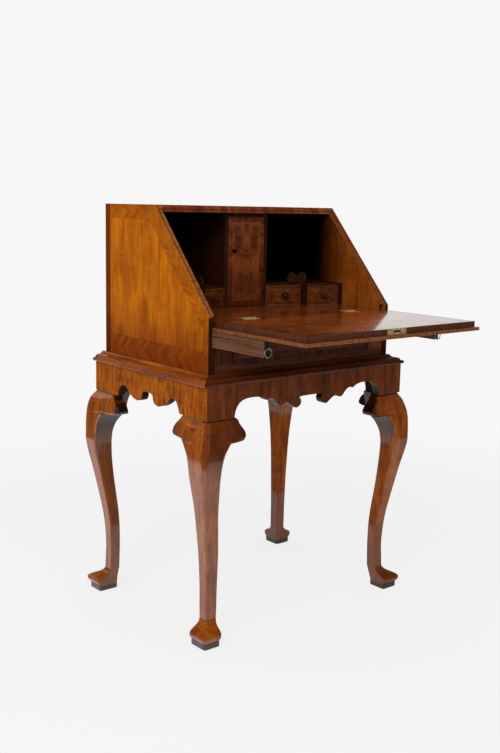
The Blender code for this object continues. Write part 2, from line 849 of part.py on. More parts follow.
def hinge_leaf(name, middle, direction, clear):
    """A leaf let into the top of a board. Direction 1 is the bed's leaf, -1 the fall's."""
    half = hinge_width / 2 + clear
    near = direction * ease
    far = direction * (hinge_leaf_length + clear)
    low_y = -pin_depth + min(near, far)
    high_y = -pin_depth + max(near, far)
    if clear > 0.0:
        low_y = low_y - play
        high_y = high_y + (play if direction < 0 else 0.0)
    head = writing_level + clear
    return settle(block(
        name, (middle - half, low_y, writing_level - hinge_leaf_thickness - clear * recess_share),
        (middle + half, high_y, head)))


def hinge_barrel(name, middle, half, radius):
    return rod(
        name, (middle - half, -pin_depth, writing_level), (middle + half, -pin_depth, writing_level), radius)


def build_hinges(fall):
    edge = hinge_width / 2
    inner = edge - hinge_knuckle_width
    for side, word in ((-1, "left"), (1, "right")):
        middle = side * hinge_offset
        bed = hinge_leaf("leaf", middle, 1, 0.0)
        clearing = rod(
            "clearing", (middle - inner, -pin_depth, writing_level), (middle + inner, -pin_depth, writing_level),
            hinge_barrel_radius + gap)
        bed = cut(bed, clearing)
        bed = join(bed, hinge_barrel("pin", middle, edge - gap, hinge_pin_radius))
        for end in (-1, 1):
            start = middle + end * inner
            stop = middle + end * edge
            bed = join(bed, rod(
                "knuckle", (start, -pin_depth, writing_level), (stop, -pin_depth, writing_level),
                hinge_barrel_radius))
        finish_part(bed, "hinge_bed_leaf_" + word, "brass")

        leaf = hinge_leaf("leaf", middle, -1, 0.0)
        for end in (-1, 1):
            start = middle + end * (inner - gap)
            stop = middle + end * (edge + play)
            leaf = cut(leaf, rod(
                "clearing", (start, -pin_depth, writing_level), (stop, -pin_depth, writing_level),
                hinge_barrel_radius + gap))
        leaf = join(leaf, hinge_barrel("knuckle", middle, inner - gap, hinge_barrel_radius))
        leaf = cut(leaf, hinge_barrel("bore", middle, edge + play, hinge_pin_radius + gap))
        finish_part(leaf, "hinge_fall_leaf_" + word, "brass", fall)


def build_fall():
    fall = pivot("fall_pivot", (0.0, -pin_depth, writing_level))
    lip_top = writing_level - panel_thickness
    panel = settle(block(
        "panel", (-panel_half, panel_end, lip_top + gap), (panel_half, fall_back, writing_level)))
    for side in (-1, 1):
        middle = side * hinge_offset
        panel = cut(
            panel,
            hinge_leaf("recess", middle, -1, ease),
            hinge_barrel("recess", middle, hinge_width / 2 + ease, hinge_barrel_radius + ease))
    plate_half = lock_plate_width / 2
    bolt_half = bolt_width / 2
    panel = cut(
        panel,
        settle(block(
            "recess", (-plate_half - gap, panel_end - play, lip_top),
            (plate_half + gap, panel_end + lock_plate_thickness + gap, writing_level + play))),
        settle(block(
            "mortise", (-bolt_half - gap, panel_end - play, writing_level - bolt_depth - bolt_thickness - gap),
            (bolt_half + gap, panel_end + bolt_length + ease, writing_level - bolt_depth + gap))))
    finish_part(panel, "fall_panel", "fall walnut", fall)

    lipping = block(
        "lipping", (-lip_half, panel_end - lip_overhang, lip_top - lip_thickness), (lip_half, fall_back, lip_top))
    finish_part(bevel(lipping), "fall_lipping", "walnut", fall)

    lock = settle(block(
        "lock", (-plate_half, panel_end, lip_top + gap), (plate_half, panel_end + lock_plate_thickness, writing_level)))
    slot = block(
        "slot", (-bolt_half - gap, panel_end - play, writing_level - bolt_depth - bolt_thickness - gap),
        (bolt_half + gap, panel_end + lock_plate_thickness + play, writing_level - bolt_depth + gap))
    finish_part(cut(lock, slot), "lock_plate", "brass", fall)
    slide = pivot("bolt_slide", (0.0, panel_end, writing_level - bolt_depth - bolt_thickness / 2), fall)
    bolt = block(
        "bolt", (-bolt_half, panel_end + gap, writing_level - bolt_depth - bolt_thickness),
        (bolt_half, panel_end + bolt_length, writing_level - bolt_depth))
    finish_part(bolt, "lock_bolt", "iron", slide)
    build_hinges(fall)


# Lopers and their rings

def build_loper(word, side):
    middle = side * (loper_inner + loper_outer) / 2
    slide = pivot("loper_slide_" + word, (middle, -loper_reach, loper_foot + loper_height / 2))
    half = loper_width / 2
    bar = block(
        "loper", (middle - half, -loper_reach, loper_foot), (middle + half, -loper_reach + loper_length, loper_top))
    eye_place = (middle, -loper_reach - eye_offset, eye_level)
    shank_radius = eye_wire
    shank_hole = rod(
        "hole", (middle, -loper_reach - play, eye_level), (middle, -loper_reach + eye_shank + ease, eye_level),
        shank_radius + gap, turn_steps // 2)
    bar = cut(settle(bar), shank_hole)
    finish_part(bar, "loper_" + word, "dark walnut", slide)

    eye = wire_ring("eye", eye_place, eye_radius, eye_wire, "x", turn_steps)
    shank = rod(
        "shank", (middle, -loper_reach - eye_offset + eye_radius - eye_wire / 2, eye_level),
        (middle, -loper_reach + eye_shank, eye_level), shank_radius, turn_steps // 2)
    finish_part(join(eye, shank), "ring_eye_" + word, "brass", slide, True)

    swing = pivot("ring_pivot_" + word, eye_place, slide)
    centre = (middle, eye_place[1], eye_level - ring_radius)
    ring = wire_ring("ring", centre, ring_radius, ring_wire, "y")
    finish_part(ring, "ring_" + word, "brass", swing, True)


# Interior

def bay_outline(side, start, end, fronts, back):
    """The plan of a bay between two distances from the middle, with a front that runs aslant."""
    return [
        (side * start, back), (side * start, -fronts[0]), (side * end, -fronts[1]), (side * end, back)]


def bay_front(bay, away):
    """Distance of a bay's slanting front from the back of the case."""
    inner_edge, outer_edge, fronts = bay
    share = (away - inner_edge) / (outer_edge - inner_edge)
    return fronts[0] + (fronts[1] - fronts[0]) * share


def build_small_drawer(name, side, bay):
    inner_edge, outer_edge, fronts = bay
    foot = writing_level + gap
    head = shelf_foot - ease
    start = inner_edge + ease
    end = outer_edge - ease
    back = -small_drawer_back
    edges = (bay_front(bay, start), bay_front(bay, end))
    slide = pivot(name + "_slide", (side * (start + end) / 2, -fronts[0], foot))
    body = plate("drawer", bay_outline(side, start, end, edges, back), foot, head, "z")
    inset = start + small_drawer_wall
    outset = end - small_drawer_wall
    inside = (bay_front(bay, inset) - small_drawer_face, bay_front(bay, outset) - small_drawer_face)
    hollow = plate(
        "hollow", bay_outline(side, inset, outset, inside, back - small_drawer_wall),
        foot + small_drawer_floor, head + play, "z")
    finish_part(cut(body, hollow), name, "fall walnut", slide)
    middle = (start + end) / 2
    slant = math.atan2(fronts[1] - fronts[0], outer_edge - inner_edge)
    face = Vector((side * middle, -bay_front(bay, middle), (foot + head) / 2))
    place = face + gap * Vector((-side * math.sin(slant), -math.cos(slant), 0.0))
    knob = turned("knob", knob_shape_shares, place, knob_radius, -side * slant)
    finish_part(knob, name + "_knob", "dark walnut", slide, True)


def build_interior():
    divider_inner = divider_middle - divider_thickness / 2
    divider_outer = divider_middle + divider_thickness / 2
    pilaster_inner = inner_half - gap - pilaster_width
    inner_bay = (cupboard_half, divider_inner, inner_bay_front)
    outer_bay = (divider_outer, pilaster_inner, outer_bay_front)
    shelf_back = inner_back - gap
    floor = writing_level + gap
    for side, word in ((-1, "left"), (1, "right")):
        build_small_drawer("small_drawer_inner_" + word, side, inner_bay)
        build_small_drawer("small_drawer_outer_" + word, side, outer_bay)
        outline = [
            (side * (cupboard_half + gap), shelf_back),
            (side * (cupboard_half + gap), -bay_front(inner_bay, cupboard_half + gap)),
            (side * divider_inner, -inner_bay_front[1]), (side * divider_inner, -outer_bay_front[0]),
            (side * pilaster_inner, -outer_bay_front[1]), (side * (inner_half - gap), -outer_bay_front[1]),
            (side * (inner_half - gap), shelf_back)]
        shelf = plate("shelf", outline, shelf_foot, shelf_top, "z")
        middle_level = (shelf_foot + shelf_top) / 2
        ends = sorted((side * divider_inner, side * divider_outer))
        divider = block(
            "divider", (ends[0] + gap, -outer_bay_front[0] + gap, floor),
            (ends[1] - gap, shelf_back - gap, middle_level))
        ends = sorted((side * pilaster_inner, side * (inner_half - gap * 2)))
        pilaster = block(
            "pilaster", (ends[0], -outer_bay_front[1] - play, floor), (ends[1], shelf_back - gap, middle_level))
        finish_part(join(shelf, divider, pilaster), "drawer_housing_" + word, "fall walnut")

        edge = [
            (-top_depth - partition_height * ahead, shelf_top + gap + partition_height * rise)
            for ahead, rise in smoothed(partition_edge_shares)]
        edge += [(shelf_back, top_underside - gap), (shelf_back, shelf_top + gap)]
        half = partition_thickness / 2
        sheet = plate("partition", edge, side * divider_middle - half, side * divider_middle + half, "x")
        finish_part(sheet, "letter_partition_" + word, "fall walnut")

        ends = sorted((side * cupboard_half, side * (cupboard_half - cupboard_wall)))
        wall = settle(block(
            "wall", (ends[0], -cupboard_front, floor), (ends[1], shelf_back, top_underside - gap)))
        if side > 0:
            for level in door_hinge_levels:
                wall = cut(wall, door_leaf("recess", level, 1, gap))
        finish_part(wall, "cupboard_side_" + word, "fall walnut")
    inside = cupboard_half - cupboard_wall - gap
    head = block(
        "head", (-inside, -cupboard_front, door_head + play),
        (inside, -cupboard_front + door_thickness, top_underside - gap))
    finish_part(head, "cupboard_head", "fall walnut")


def door_pin():
    """The (x, y) place of the pin that the cupboard door turns on."""
    return (cupboard_half - cupboard_wall - ease / 2, -cupboard_front - door_pin_offset)


def door_leaf(name, level, direction, clear):
    """A hinge leaf on the edge of the door (direction -1) or the cupboard side (1)."""
    face = cupboard_half - cupboard_wall
    if direction < 0:
        face = face - ease
    inner = face + direction * (door_leaf_thickness + clear)
    outer = face - direction * clear / recess_share
    half = door_leaf_height / 2 + clear
    front = -cupboard_front - (door_leaf_length if clear > 0.0 else 0.0)
    if clear == 0.0:
        front = -cupboard_front
    return settle(block(
        name, (min(inner, outer), front, level - half),
        (max(inner, outer), -cupboard_front + door_leaf_length + clear, level + half)))


def door_knuckle(name, level, low_share, high_share, radius):
    x, y = door_pin()
    low = level - door_leaf_height / 2 + door_leaf_height * low_share
    high = level - door_leaf_height / 2 + door_leaf_height * high_share
    return rod(name, (x, y, low), (x, y, high), radius, turn_steps // 2)


def build_door():
    x, y = door_pin()
    swing = pivot("door_pivot", (x, y, writing_level))
    half = cupboard_half - cupboard_wall - ease
    door = settle(block(
        "door", (-half, -cupboard_front, door_level), (half, -cupboard_front + door_thickness, door_head)))
    for level in door_hinge_levels:
        door = cut(door, door_leaf("recess", level, -1, gap))
    finish_part(door, "cupboard_door", "fall walnut", swing)

    reach = door_pin_offset + door_leaf_thickness
    for level, word in zip(door_hinge_levels, ("upper", "lower")):
        clear_share = gap / door_leaf_height
        leaf = door_leaf("leaf", level, 1, 0.0)
        web_x = sorted((x, cupboard_half - cupboard_wall + door_leaf_thickness))
        low = level - door_leaf_height / 2
        web = settle(block(
            "web", (web_x[0], y, low + gap), (web_x[1], y + reach, low + door_leaf_height / 2 - gap)))
        leaf = join(leaf, web, door_knuckle("knuckle", level, 0.0, 0.5, door_barrel_radius))
        leaf = join(leaf, door_knuckle("pin", level, pin_start_share, 1.0, door_hinge_pin_radius))
        finish_part(leaf, "door_hinge_" + word + "_fixed_leaf", "brass")

        leaf = door_leaf("leaf", level, -1, 0.0)
        web_x = sorted((x, cupboard_half - cupboard_wall - ease - door_leaf_thickness))
        web = settle(block(
            "web", (web_x[0], y, low + door_leaf_height / 2 + gap * 2),
            (web_x[1], y + reach, low + door_leaf_height - gap)))
        leaf = join(leaf, web, door_knuckle("knuckle", level, 0.5 + clear_share, 1.0, door_barrel_radius))
        leaf = cut(leaf, door_knuckle("bore", level, bore_start_share, bore_end_share, door_hinge_pin_radius + gap))
        finish_part(leaf, "door_hinge_" + word + "_moving_leaf", "brass", swing)

    place = (-door_knob_offset, -cupboard_front - gap, door_head - door_knob_drop)
    knob = turned("knob", knob_shape_shares, place, brass_knob_radius)
    finish_part(knob, "door_knob", "brass", swing, True)


build_leg("front", -1)
build_leg("back", 1)
build_aprons()
build_mouldings()
build_sides()
build_top()
build_boards()
build_stiles()
build_drawer()
build_fall()
build_loper("left", -1)
build_loper("right", 1)
build_interior()
build_door()
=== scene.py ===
import math

import bpy
import numpy as np
from mathutils import Matrix, Vector


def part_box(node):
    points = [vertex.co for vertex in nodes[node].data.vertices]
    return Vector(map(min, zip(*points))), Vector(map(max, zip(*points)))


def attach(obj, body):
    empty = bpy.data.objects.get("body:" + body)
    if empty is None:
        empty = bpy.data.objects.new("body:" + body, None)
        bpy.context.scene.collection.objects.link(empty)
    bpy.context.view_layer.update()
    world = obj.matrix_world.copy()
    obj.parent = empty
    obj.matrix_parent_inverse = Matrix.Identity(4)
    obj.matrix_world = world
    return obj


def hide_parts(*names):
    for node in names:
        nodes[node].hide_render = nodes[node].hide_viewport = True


# A walnut slope-front bureau on a cabriole-leg stand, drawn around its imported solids.
# Lengths are metres in the frame's own axes: the front faces -Y and up is +Z. Looks are in millimetres.

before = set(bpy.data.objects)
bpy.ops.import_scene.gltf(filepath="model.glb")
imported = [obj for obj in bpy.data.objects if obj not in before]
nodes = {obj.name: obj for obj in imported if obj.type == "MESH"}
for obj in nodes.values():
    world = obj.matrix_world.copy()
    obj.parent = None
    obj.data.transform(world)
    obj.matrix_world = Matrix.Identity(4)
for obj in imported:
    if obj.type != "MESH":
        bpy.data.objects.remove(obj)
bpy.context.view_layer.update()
print("frame loaded with", len(nodes), "solids")


# sRGB hex to the linear colour that a socket wants
def toLinear(hexColour):
    channels = [int(hexColour[start:start + 2], 16) / 255 for start in (1, 3, 5)]
    return (*[c / 12.92 if c <= 0.04045 else ((c + 0.055) / 1.055) ** 2.4 for c in channels], 1.0)


# Adds one shader node. A number or an input's name as key sets or links that input, and other keys set
# attributes.
def addNode(tree, kind, settings=None, links=None):
    node = tree.nodes.new("ShaderNode" + kind)
    for key, value in (settings or {}).items():
        if isinstance(key, int) or key in node.inputs:
            node.inputs[key].default_value = value
        else:
            setattr(node, key, value)
    for key, source in (links or {}).items():
        tree.links.new(source, node.inputs[key])
    return node


# The node tree that the first output among some values belongs to
def treeOf(*values):
    return next(value.id_data for value in values if hasattr(value, "links"))


# Gives an input a plain value or a hex colour, or links another node's output to it
def feed(target, source):
    if isinstance(source, str):
        source = toLinear(source)
    if hasattr(source, "links"):
        target.id_data.links.new(source, target)
    else:
        target.default_value = source


# One step of arithmetic on outputs or plain numbers
def reckon(operation, *terms):
    node = addNode(treeOf(*terms), "Math", {"operation": operation})
    for target, term in zip(node.inputs, terms):
        feed(target, term)
    return node.outputs[0]


# How far a vector reaches along a direction
def reachAlong(vector, way):
    node = addNode(treeOf(vector), "VectorMath", {"operation": "DOT_PRODUCT"}, {0: vector})
    feed(node.inputs[1], way)
    return node.outputs["Value"]


# A vector's three coordinates
def split(vector):
    return addNode(treeOf(vector), "SeparateXYZ", {}, {0: vector}).outputs


# A vector from two or three coordinates
def join(*values):
    return addNode(treeOf(*values), "CombineXYZ", {}, dict(enumerate(values))).outputs[0]


# The surface's own direction: rounded as shaded, or true to its flat faces
def surfaceNormal(tree, kind="Normal"):
    return addNode(tree, "NewGeometry").outputs[kind]


# A new material, its node tree, its shader, and the object's own coordinates in millimetres
def newMaterial(name):
    made = bpy.data.materials.new(name)
    made.use_nodes = True
    tree = made.node_tree
    place = addNode(tree, "TexCoord")
    millimetres = addNode(
        tree, "Mapping", {"Scale": (1000.0, 1000.0, 1000.0)}, {"Vector": place.outputs["Object"]})
    return made, tree, tree.nodes["Principled BSDF"], millimetres.outputs["Vector"]


# Soft noise from 0 to 1, with a spot size in millimetres along each axis of its vector
def grainNoise(vector, spots, detail=2.0, distortion=0.0, shift=(0.0, 0.0, 0.0)):
    tree = treeOf(vector)
    scale = tuple(1.0 / spot for spot in spots)
    stretched = addNode(tree, "Mapping", {"Scale": scale, "Location": shift}, {"Vector": vector})
    noise = addNode(
        tree, "TexNoise", {"Scale": 1.0, "Detail": detail, "Distortion": distortion},
        {"Vector": stretched.outputs["Vector"]})
    return noise.outputs["Fac"]


# A value stretched from one range to another, smoothly, and held at the ends
def remap(value, fromLow, fromHigh, toLow, toHigh):
    node = addNode(
        treeOf(value), "MapRange",
        {"interpolation_type": "SMOOTHSTEP", 1: fromLow, 2: fromHigh, 3: toLow, 4: toHigh}, {0: value})
    return node.outputs["Result"]


# Changes from one share to another where the value crosses a place, softly
def crossing(value, place, soft, before, after):
    return remap(value, place - soft, place + soft, before, after)


# Two colours mixed by a factor
def mixColour(factor, first, second, blend="MIX"):
    node = addNode(treeOf(factor, first, second), "Mix", {"data_type": "RGBA", "blend_type": blend})
    for index, source in ((0, factor), (6, first), (7, second)):
        feed(node.inputs[index], source)
    return node.outputs[2]


# A colour multiplied by a tint, as far as the amount says
def tinted(amount, colour, tint):
    return mixColour(amount, colour, mixColour(1.0, colour, tint, "MULTIPLY"))


# Distance in from the nearest side of a flat panel's outline, and the place along that side, both in
# millimetres. The corners run anticlockwise, and the border is as wide as the side's own width.
def sideField(flat, corners, widths):
    distance = None
    along = None
    for start, end, width in zip(corners, corners[1:] + corners[:1], widths):
        run = (end[0] - start[0], end[1] - start[1])
        length = math.hypot(*run)
        tangent = (run[0] / length, run[1] / length, 0.0)
        normal = (-run[1] / length, run[0] / length, 0.0)
        offset = -(normal[0] * start[0] + normal[1] * start[1])
        inward = reckon("ADD", reachAlong(flat, normal), offset)
        inward = reckon("MULTIPLY", inward, max(widths) / width)
        slide = reachAlong(flat, tangent)
        if distance is None:
            distance = inward
            along = slide
            continue
        nearer = reckon("LESS_THAN", inward, distance)
        along = addNode(
            treeOf(flat), "Mix", {"data_type": "FLOAT"}, {0: nearer, 2: along, 3: slide}).outputs[0]
        distance = reckon("MINIMUM", inward, distance)
    return distance, along


# Wear along arrises: where the normal of a rounded-off corner departs from the face's own
def edgeWear(radius, patches):
    tree = treeOf(patches)
    rounded = addNode(tree, "Bevel", {"samples": 4, "Radius": radius}).outputs["Normal"]
    agree = reachAlong(rounded, surfaceNormal(tree))
    edge = remap(agree, 0.84, 0.985, 1.0, 0.0)
    broken = remap(patches, 0.35, 0.6, 0.25, 1.0)
    return reckon("MULTIPLY", edge, broken)


# What all timbers share. Spots are noise sizes, ranges the stretch of a noise that shows, soft the half
# width of a drawn line's edge, and the rest are depths and tints. Lengths are millimetres.
wood = dict(
    cloudRange=(0.3, 0.72), curlRange=(0.42, 0.7), streakRange=(0.46, 0.74), poreRange=(0.6, 0.74),
    poreSpots=(0.9, 0.9, 14), patchRange=(0.38, 0.62), patchSpots=(16, 16, 40), patchShare=0.5,
    wearSpots=(22, 22, 22), smearSpots=(55, 55, 55), smearRange=(0.3, 0.7), bandSoft=0.3,
    # The foot, ear tip, seam, rebate and low edge tints are painted shade; the foot's is also wear
    bandCalm=-0.55, stringSoft=0.2, faceSoft=0.5, footWornAndShaded="#1E1410", footShare=0.93, earTipShade="#1E0C04",
    earShare=0.85, seamShadow="#180A04", seamDepth=2.5, seamShare=0.75, rebateShade="#1C0C04",
    rebateShare=0.85, lowEdgeShade="#2A1006", lowEdgeShadeLevels=(755, 757), ior=1.5, smearHeight=1.4,
    reliefDepth=0.0006,
)


# The border laid round a panel: its mask, its own grain, and which face of the board carries it
def layBorder(look, own, grain):
    first, second = look["plane"]
    width = look["bandWidth"]
    widths = look.get("bandWidths", [width] * len(look["corners"]))
    distance, along = sideField(join(own[first], own[second]), look["corners"], widths)
    if look.get("feather"):
        # A feathered border: two strips whose grain leans opposite ways
        lean = reckon("ABSOLUTE", reckon("SUBTRACT", distance, width / 2))
        along = reckon("ADD", along, lean)
    crossed = join(along, along, distance)
    band = crossing(distance, width, wood["bandSoft"], 1.0, 0.0)
    border = {"distance": distance, "crossed": crossed}
    if "inner" in look:
        # The face nearer the middle than the limit is the board's inner one, and has no border
        limit = look["inner"][0]
        far = reckon("ABSOLUTE", own[0])
        border["inside"] = remap(far, limit, limit + wood["faceSoft"], 1.0, 0.0)
        border["outside"] = remap(far, limit, limit + wood["faceSoft"], 0.0, 1.0)
        band = reckon("MULTIPLY", band, border["outside"])
    border["band"] = band
    border["grain"] = addNode(
        treeOf(grain), "Mix", {"data_type": "VECTOR"}, {0: band, 4: grain, 5: crossed}).outputs[1]
    return border


# The border's tint, patchy as old veneer is, and the thin line laid beside it
def borderColour(look, border, colour):
    patch = grainNoise(border["crossed"], wood["patchSpots"], 2.0, 0.4, (4.4, 6.1, 0.7))
    share = remap(patch, *wood["patchRange"], 0.0, wood["patchShare"])
    tint = mixColour(share, look["bandTint"], (1.0, 1.0, 1.0, 1.0))
    shaded = mixColour(1.0, colour, tint, "MULTIPLY")
    colour = mixColour(border["band"], colour, shaded)
    if "stringing" in look:
        half = look.get("stringWidth", 1.2) / 2
        away = look.get("stringAt", look["bandWidth"])
        off = reckon("ABSOLUTE", reckon("SUBTRACT", border["distance"], away))
        string = crossing(off, half, wood["stringSoft"], look.get("stringShare", 0.8), 0.0)
        if "outside" in border:
            string = reckon("MULTIPLY", string, border["outside"])
        colour = mixColour(string, colour, look["stringing"])
    return colour


# What age and wear add, and painted light and shade, each only where the look asks for it
def agedAndShadedColour(look, colour, own, cloud, dark, inside):
    across, depth, level = own
    if "fade" in look:
        # Darker below, between two levels
        low, high, tint = look["fade"]
        colour = tinted(remap(level, low, high, 1.0, 0.0), colour, tint)
    if "base" in look:
        # The block under the foot is painted nearly black: worn dark, and painted shade
        stained = crossing(level, look["base"], wood["bandSoft"], wood["footShare"], 0.0)
        colour = mixColour(stained, colour, wood["footWornAndShaded"])
    if "crest" in look:
        # Painted light: only the lower scrolls of a partition are painted as lit
        low, high, tint = look["crest"]
        lit = mixColour(remap(cloud, 0.35, 0.65, 0.0, 0.7), tint, dark)
        colour = mixColour(remap(level, low, high, 1.0, 0.0), colour, lit)
    if "leeShade" in look:
        # Painted shade: faces that look left, or towards the front, are painted darker, most of all above
        # the higher level
        axis, tint, low, high, least = look["leeShade"]
        turned = remap(split(surfaceNormal(treeOf(colour)))[axis], -0.8, -0.4, 1.0, 0.0)
        share = remap(level, low, high, least, 1.0)
        colour = tinted(reckon("MULTIPLY", turned, share), colour, tint)
    if "tips" in look:
        # Painted shade in the scrolled ends of the ears
        centre, frontEnds, sideEnds = look["tips"]
        beside = reckon("ABSOLUTE", reckon("SUBTRACT", depth, centre))
        ends = [
            remap(value, *limits, wood["earShare"], 0.0)
            for value, limits in ((reckon("ABSOLUTE", across), frontEnds), (beside, sideEnds))]
        colour = mixColour(reckon("MAXIMUM", *ends), colour, wood["earTipShade"])
    if "seam" in look:
        # Painted shadow in the joint under the frieze
        dirt = remap(level, look["seam"], look["seam"] + wood["seamDepth"], 0.0, wood["seamShare"])
        colour = mixColour(dirt, colour, wood["seamShadow"])
    if "back" in look:
        # The border along the back is a darker veneer than the others
        edgePlace, tint = look["back"]
        colour = tinted(crossing(depth, edgePlace, wood["faceSoft"], 0.0, 1.0), colour, tint)
    if "deep" in look:
        # Painted shade towards the back of a recess, between two places along Y
        near, far, tint = look["deep"]
        amount = remap(depth, near, far, 0.0, 1.0)
        if inside is not None:
            amount = reckon("MULTIPLY", amount, inside)
        colour = tinted(amount, colour, tint)
    return colour


# The sawn edge of a board, where its face no longer looks along the board's own axis
def sawnEdge(look, colour, own, streak, dark):
    axis, tint = look["edge"]
    turned = split(surfaceNormal(treeOf(colour), "True Normal"))[axis]
    cutFace = remap(reckon("ABSOLUTE", turned), 0.35, 0.6, 1.0, 0.0)
    sawn = mixColour(remap(streak, 0.4, 0.7, 0.0, 0.8), tint, dark)
    if "edgeLine" in look:
        # The rebate along the slope is a dark line of painted shade on the board's edge, and below the
        # slope the edge is painted dark as painted shade
        linePlace, half = look["edgeLine"]
        off = reckon("ABSOLUTE", reckon("SUBTRACT", own[0], linePlace))
        line = remap(off, half, half + wood["faceSoft"], wood["rebateShare"], 0.0)
        sawn = mixColour(line, sawn, wood["rebateShade"])
        low = remap(own[2], *wood["lowEdgeShadeLevels"], 0.95, 0.0)
        sawn = mixColour(low, sawn, wood["lowEdgeShade"])
    return mixColour(cutFace, colour, sawn)


# Polish over the wood: its gloss, smeared by hands, its coat, and a fine relief with open pores
def polishWood(tree, shader, look, place, poreMask):
    smear = grainNoise(place, wood["smearSpots"], 3.0, 0.3, (2.0, 6.0, 4.0))
    rough = look["rough"]
    roughness = remap(smear, *wood["smearRange"], rough - 0.06, rough + 0.08)
    tree.links.new(roughness, shader.inputs["Roughness"])
    uniform = {
        "IOR": wood["ior"], "Specular IOR Level": look.get("shine", 0.25),
        "Coat Weight": look.get("coat", 0.5), "Coat Roughness": look.get("coatRough", 0.16),
        "Coat IOR": look.get("coatIor", 1.5),
    }
    for socket, value in uniform.items():
        shader.inputs[socket].default_value = value
    height = reckon("SUBTRACT", reckon("MULTIPLY", smear, wood["smearHeight"]), poreMask)
    bump = addNode(
        tree, "Bump", {"Strength": look.get("bump", 0.25), "Distance": wood["reliefDepth"]},
        {"Height": height})
    tree.links.new(bump.outputs["Normal"], shader.inputs["Normal"])


# Polished timber or veneer. Its look gives the dark, middle, light and worn tones, the way of the grain and
# any border round a panel.
def timber(name, look):
    made, tree, shader, place = newMaterial(name)
    own = split(place)
    parts = list(own)
    if look.get("bookmatch"):
        parts[0] = reckon("ABSOLUTE", own[0])
    # Coordinates as across, across, along the grain
    order = {"x": (1, 2, 0), "y": (0, 2, 1), "z": (0, 1, 2)}[look["grain"]]
    grain = join(*[parts[axis] for axis in order])
    border = layBorder(look, own, grain) if "corners" in look else {}
    grain = border.get("grain", grain)
    inside = border.get("inside")

    cloud = grainNoise(grain, look.get("cloud", (45.0, 45.0, 170.0)), 3.0, 0.6)
    streak = grainNoise(grain, look.get("streak", (4.5, 4.5, 150.0)), 3.0, 0.4, (3.1, 7.7, 1.9))
    curl = grainNoise(grain, look.get("curl", (60.0, 60.0, 11.0)), 2.0, 0.8, (9.3, 2.2, 5.5))
    # The pores are drawn coarser than real ones, so that they show
    pore = grainNoise(grain, wood["poreSpots"], 1.0, 0.0, (1.7, 4.3, 8.8))
    dark, middle, light, pale = look["tones"]
    if inside is not None:
        # A board's inner face is plain and browner
        dark, middle, light = [
            mixColour(inside, shade, plain)
            for shade, plain in zip((dark, middle, light), look["inner"][1:])]
    colour = mixColour(remap(cloud, *wood["cloudRange"], 0.0, 1.0), middle, light)
    curlMask = remap(curl, *wood["curlRange"], 0.0, look.get("curlShare", 0.35))
    colour = mixColour(curlMask, colour, light)
    streakMask = remap(streak, *wood["streakRange"], 0.0, look.get("streakShare", 0.75))
    if border:
        # The border's short grain is calmer than the field's
        calm = reckon("MULTIPLY_ADD", border["band"], wood["bandCalm"], 1.0)
        streakMask = reckon("MULTIPLY", streakMask, calm)
    colour = mixColour(streakMask, colour, dark)
    poreMask = remap(pore, *wood["poreRange"], 0.0, look.get("poreShare", 0.5))
    colour = mixColour(poreMask, colour, dark)
    if border:
        colour = borderColour(look, border, colour)
    colour = agedAndShadedColour(look, colour, own, cloud, dark, inside)
    if "edge" in look:
        colour = sawnEdge(look, colour, own, streak, dark)
    wear = edgeWear(look.get("wearRadius", 0.0014), grainNoise(place, wood["wearSpots"], 2.0))
    worn = reckon("MULTIPLY", wear, look.get("wearShare", 0.6))
    colour = mixColour(worn, colour, pale)
    tree.links.new(colour, shader.inputs["Base Color"])
    polishWood(tree, shader, look, place, poreMask)
    return made


# What all metals share: the clouding of their patina and the scratches along them
metal = dict(
    cloudSpots=(7, 7, 7), scratchSpots=(0.5, 0.5, 9), scratchDepth=0.0002, wearRadius=0.0006,
)


# Aged metal with darker hollows and rubbed edges
def agedMetal(name, look):
    made, tree, shader, place = newMaterial(name)
    cloud = grainNoise(place, metal["cloudSpots"], 4.0, 0.5)
    colour = mixColour(remap(cloud, 0.35, 0.65, 0.0, 1.0), look["bright"], look["dull"])
    colour = mixColour(edgeWear(metal["wearRadius"], cloud), colour, look["rubbed"])
    tree.links.new(colour, shader.inputs["Base Color"])
    shader.inputs["Metallic"].default_value = look.get("metal", 1.0)
    rough = look["rough"]
    tree.links.new(remap(cloud, 0.3, 0.7, rough - 0.07, rough + 0.12), shader.inputs["Roughness"])
    scratch = grainNoise(place, metal["scratchSpots"], 2.0)
    bump = addNode(
        tree, "Bump", {"Strength": 0.15, "Distance": metal["scratchDepth"]}, {"Height": scratch})
    tree.links.new(bump.outputs["Normal"], shader.inputs["Normal"])
    return made


# Corners of a node's box in two of its axes, in millimetres and anticlockwise
def boxCorners(node, first, second):
    low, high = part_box(node)
    left, right = low[first] * 1000, high[first] * 1000
    foot, head = low[second] * 1000, high[second] * 1000
    return [(left, foot), (right, foot), (right, head), (left, head)]


# Places of the case that several pieces share
sideLow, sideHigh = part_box("case_side_left")
caseBack = sideHigh[1]
caseFront = sideLow[1]
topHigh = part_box("top_board")[1]
caseShape = dict(
    topDepth=0.211,
    slopeFoot=0.758,
    head=topHigh[2],
    foot=0.6295,
    standHalf=0.225,
)
slopeTop = caseBack - caseShape["topDepth"]
sideMiddle = caseBack - caseShape["standHalf"]
sideCorners = [
    (caseFront * 1000, caseShape["foot"] * 1000), (caseBack * 1000, caseShape["foot"] * 1000),
    (caseBack * 1000, caseShape["head"] * 1000), (slopeTop * 1000, caseShape["head"] * 1000),
    (caseFront * 1000, caseShape["slopeFoot"] * 1000)]

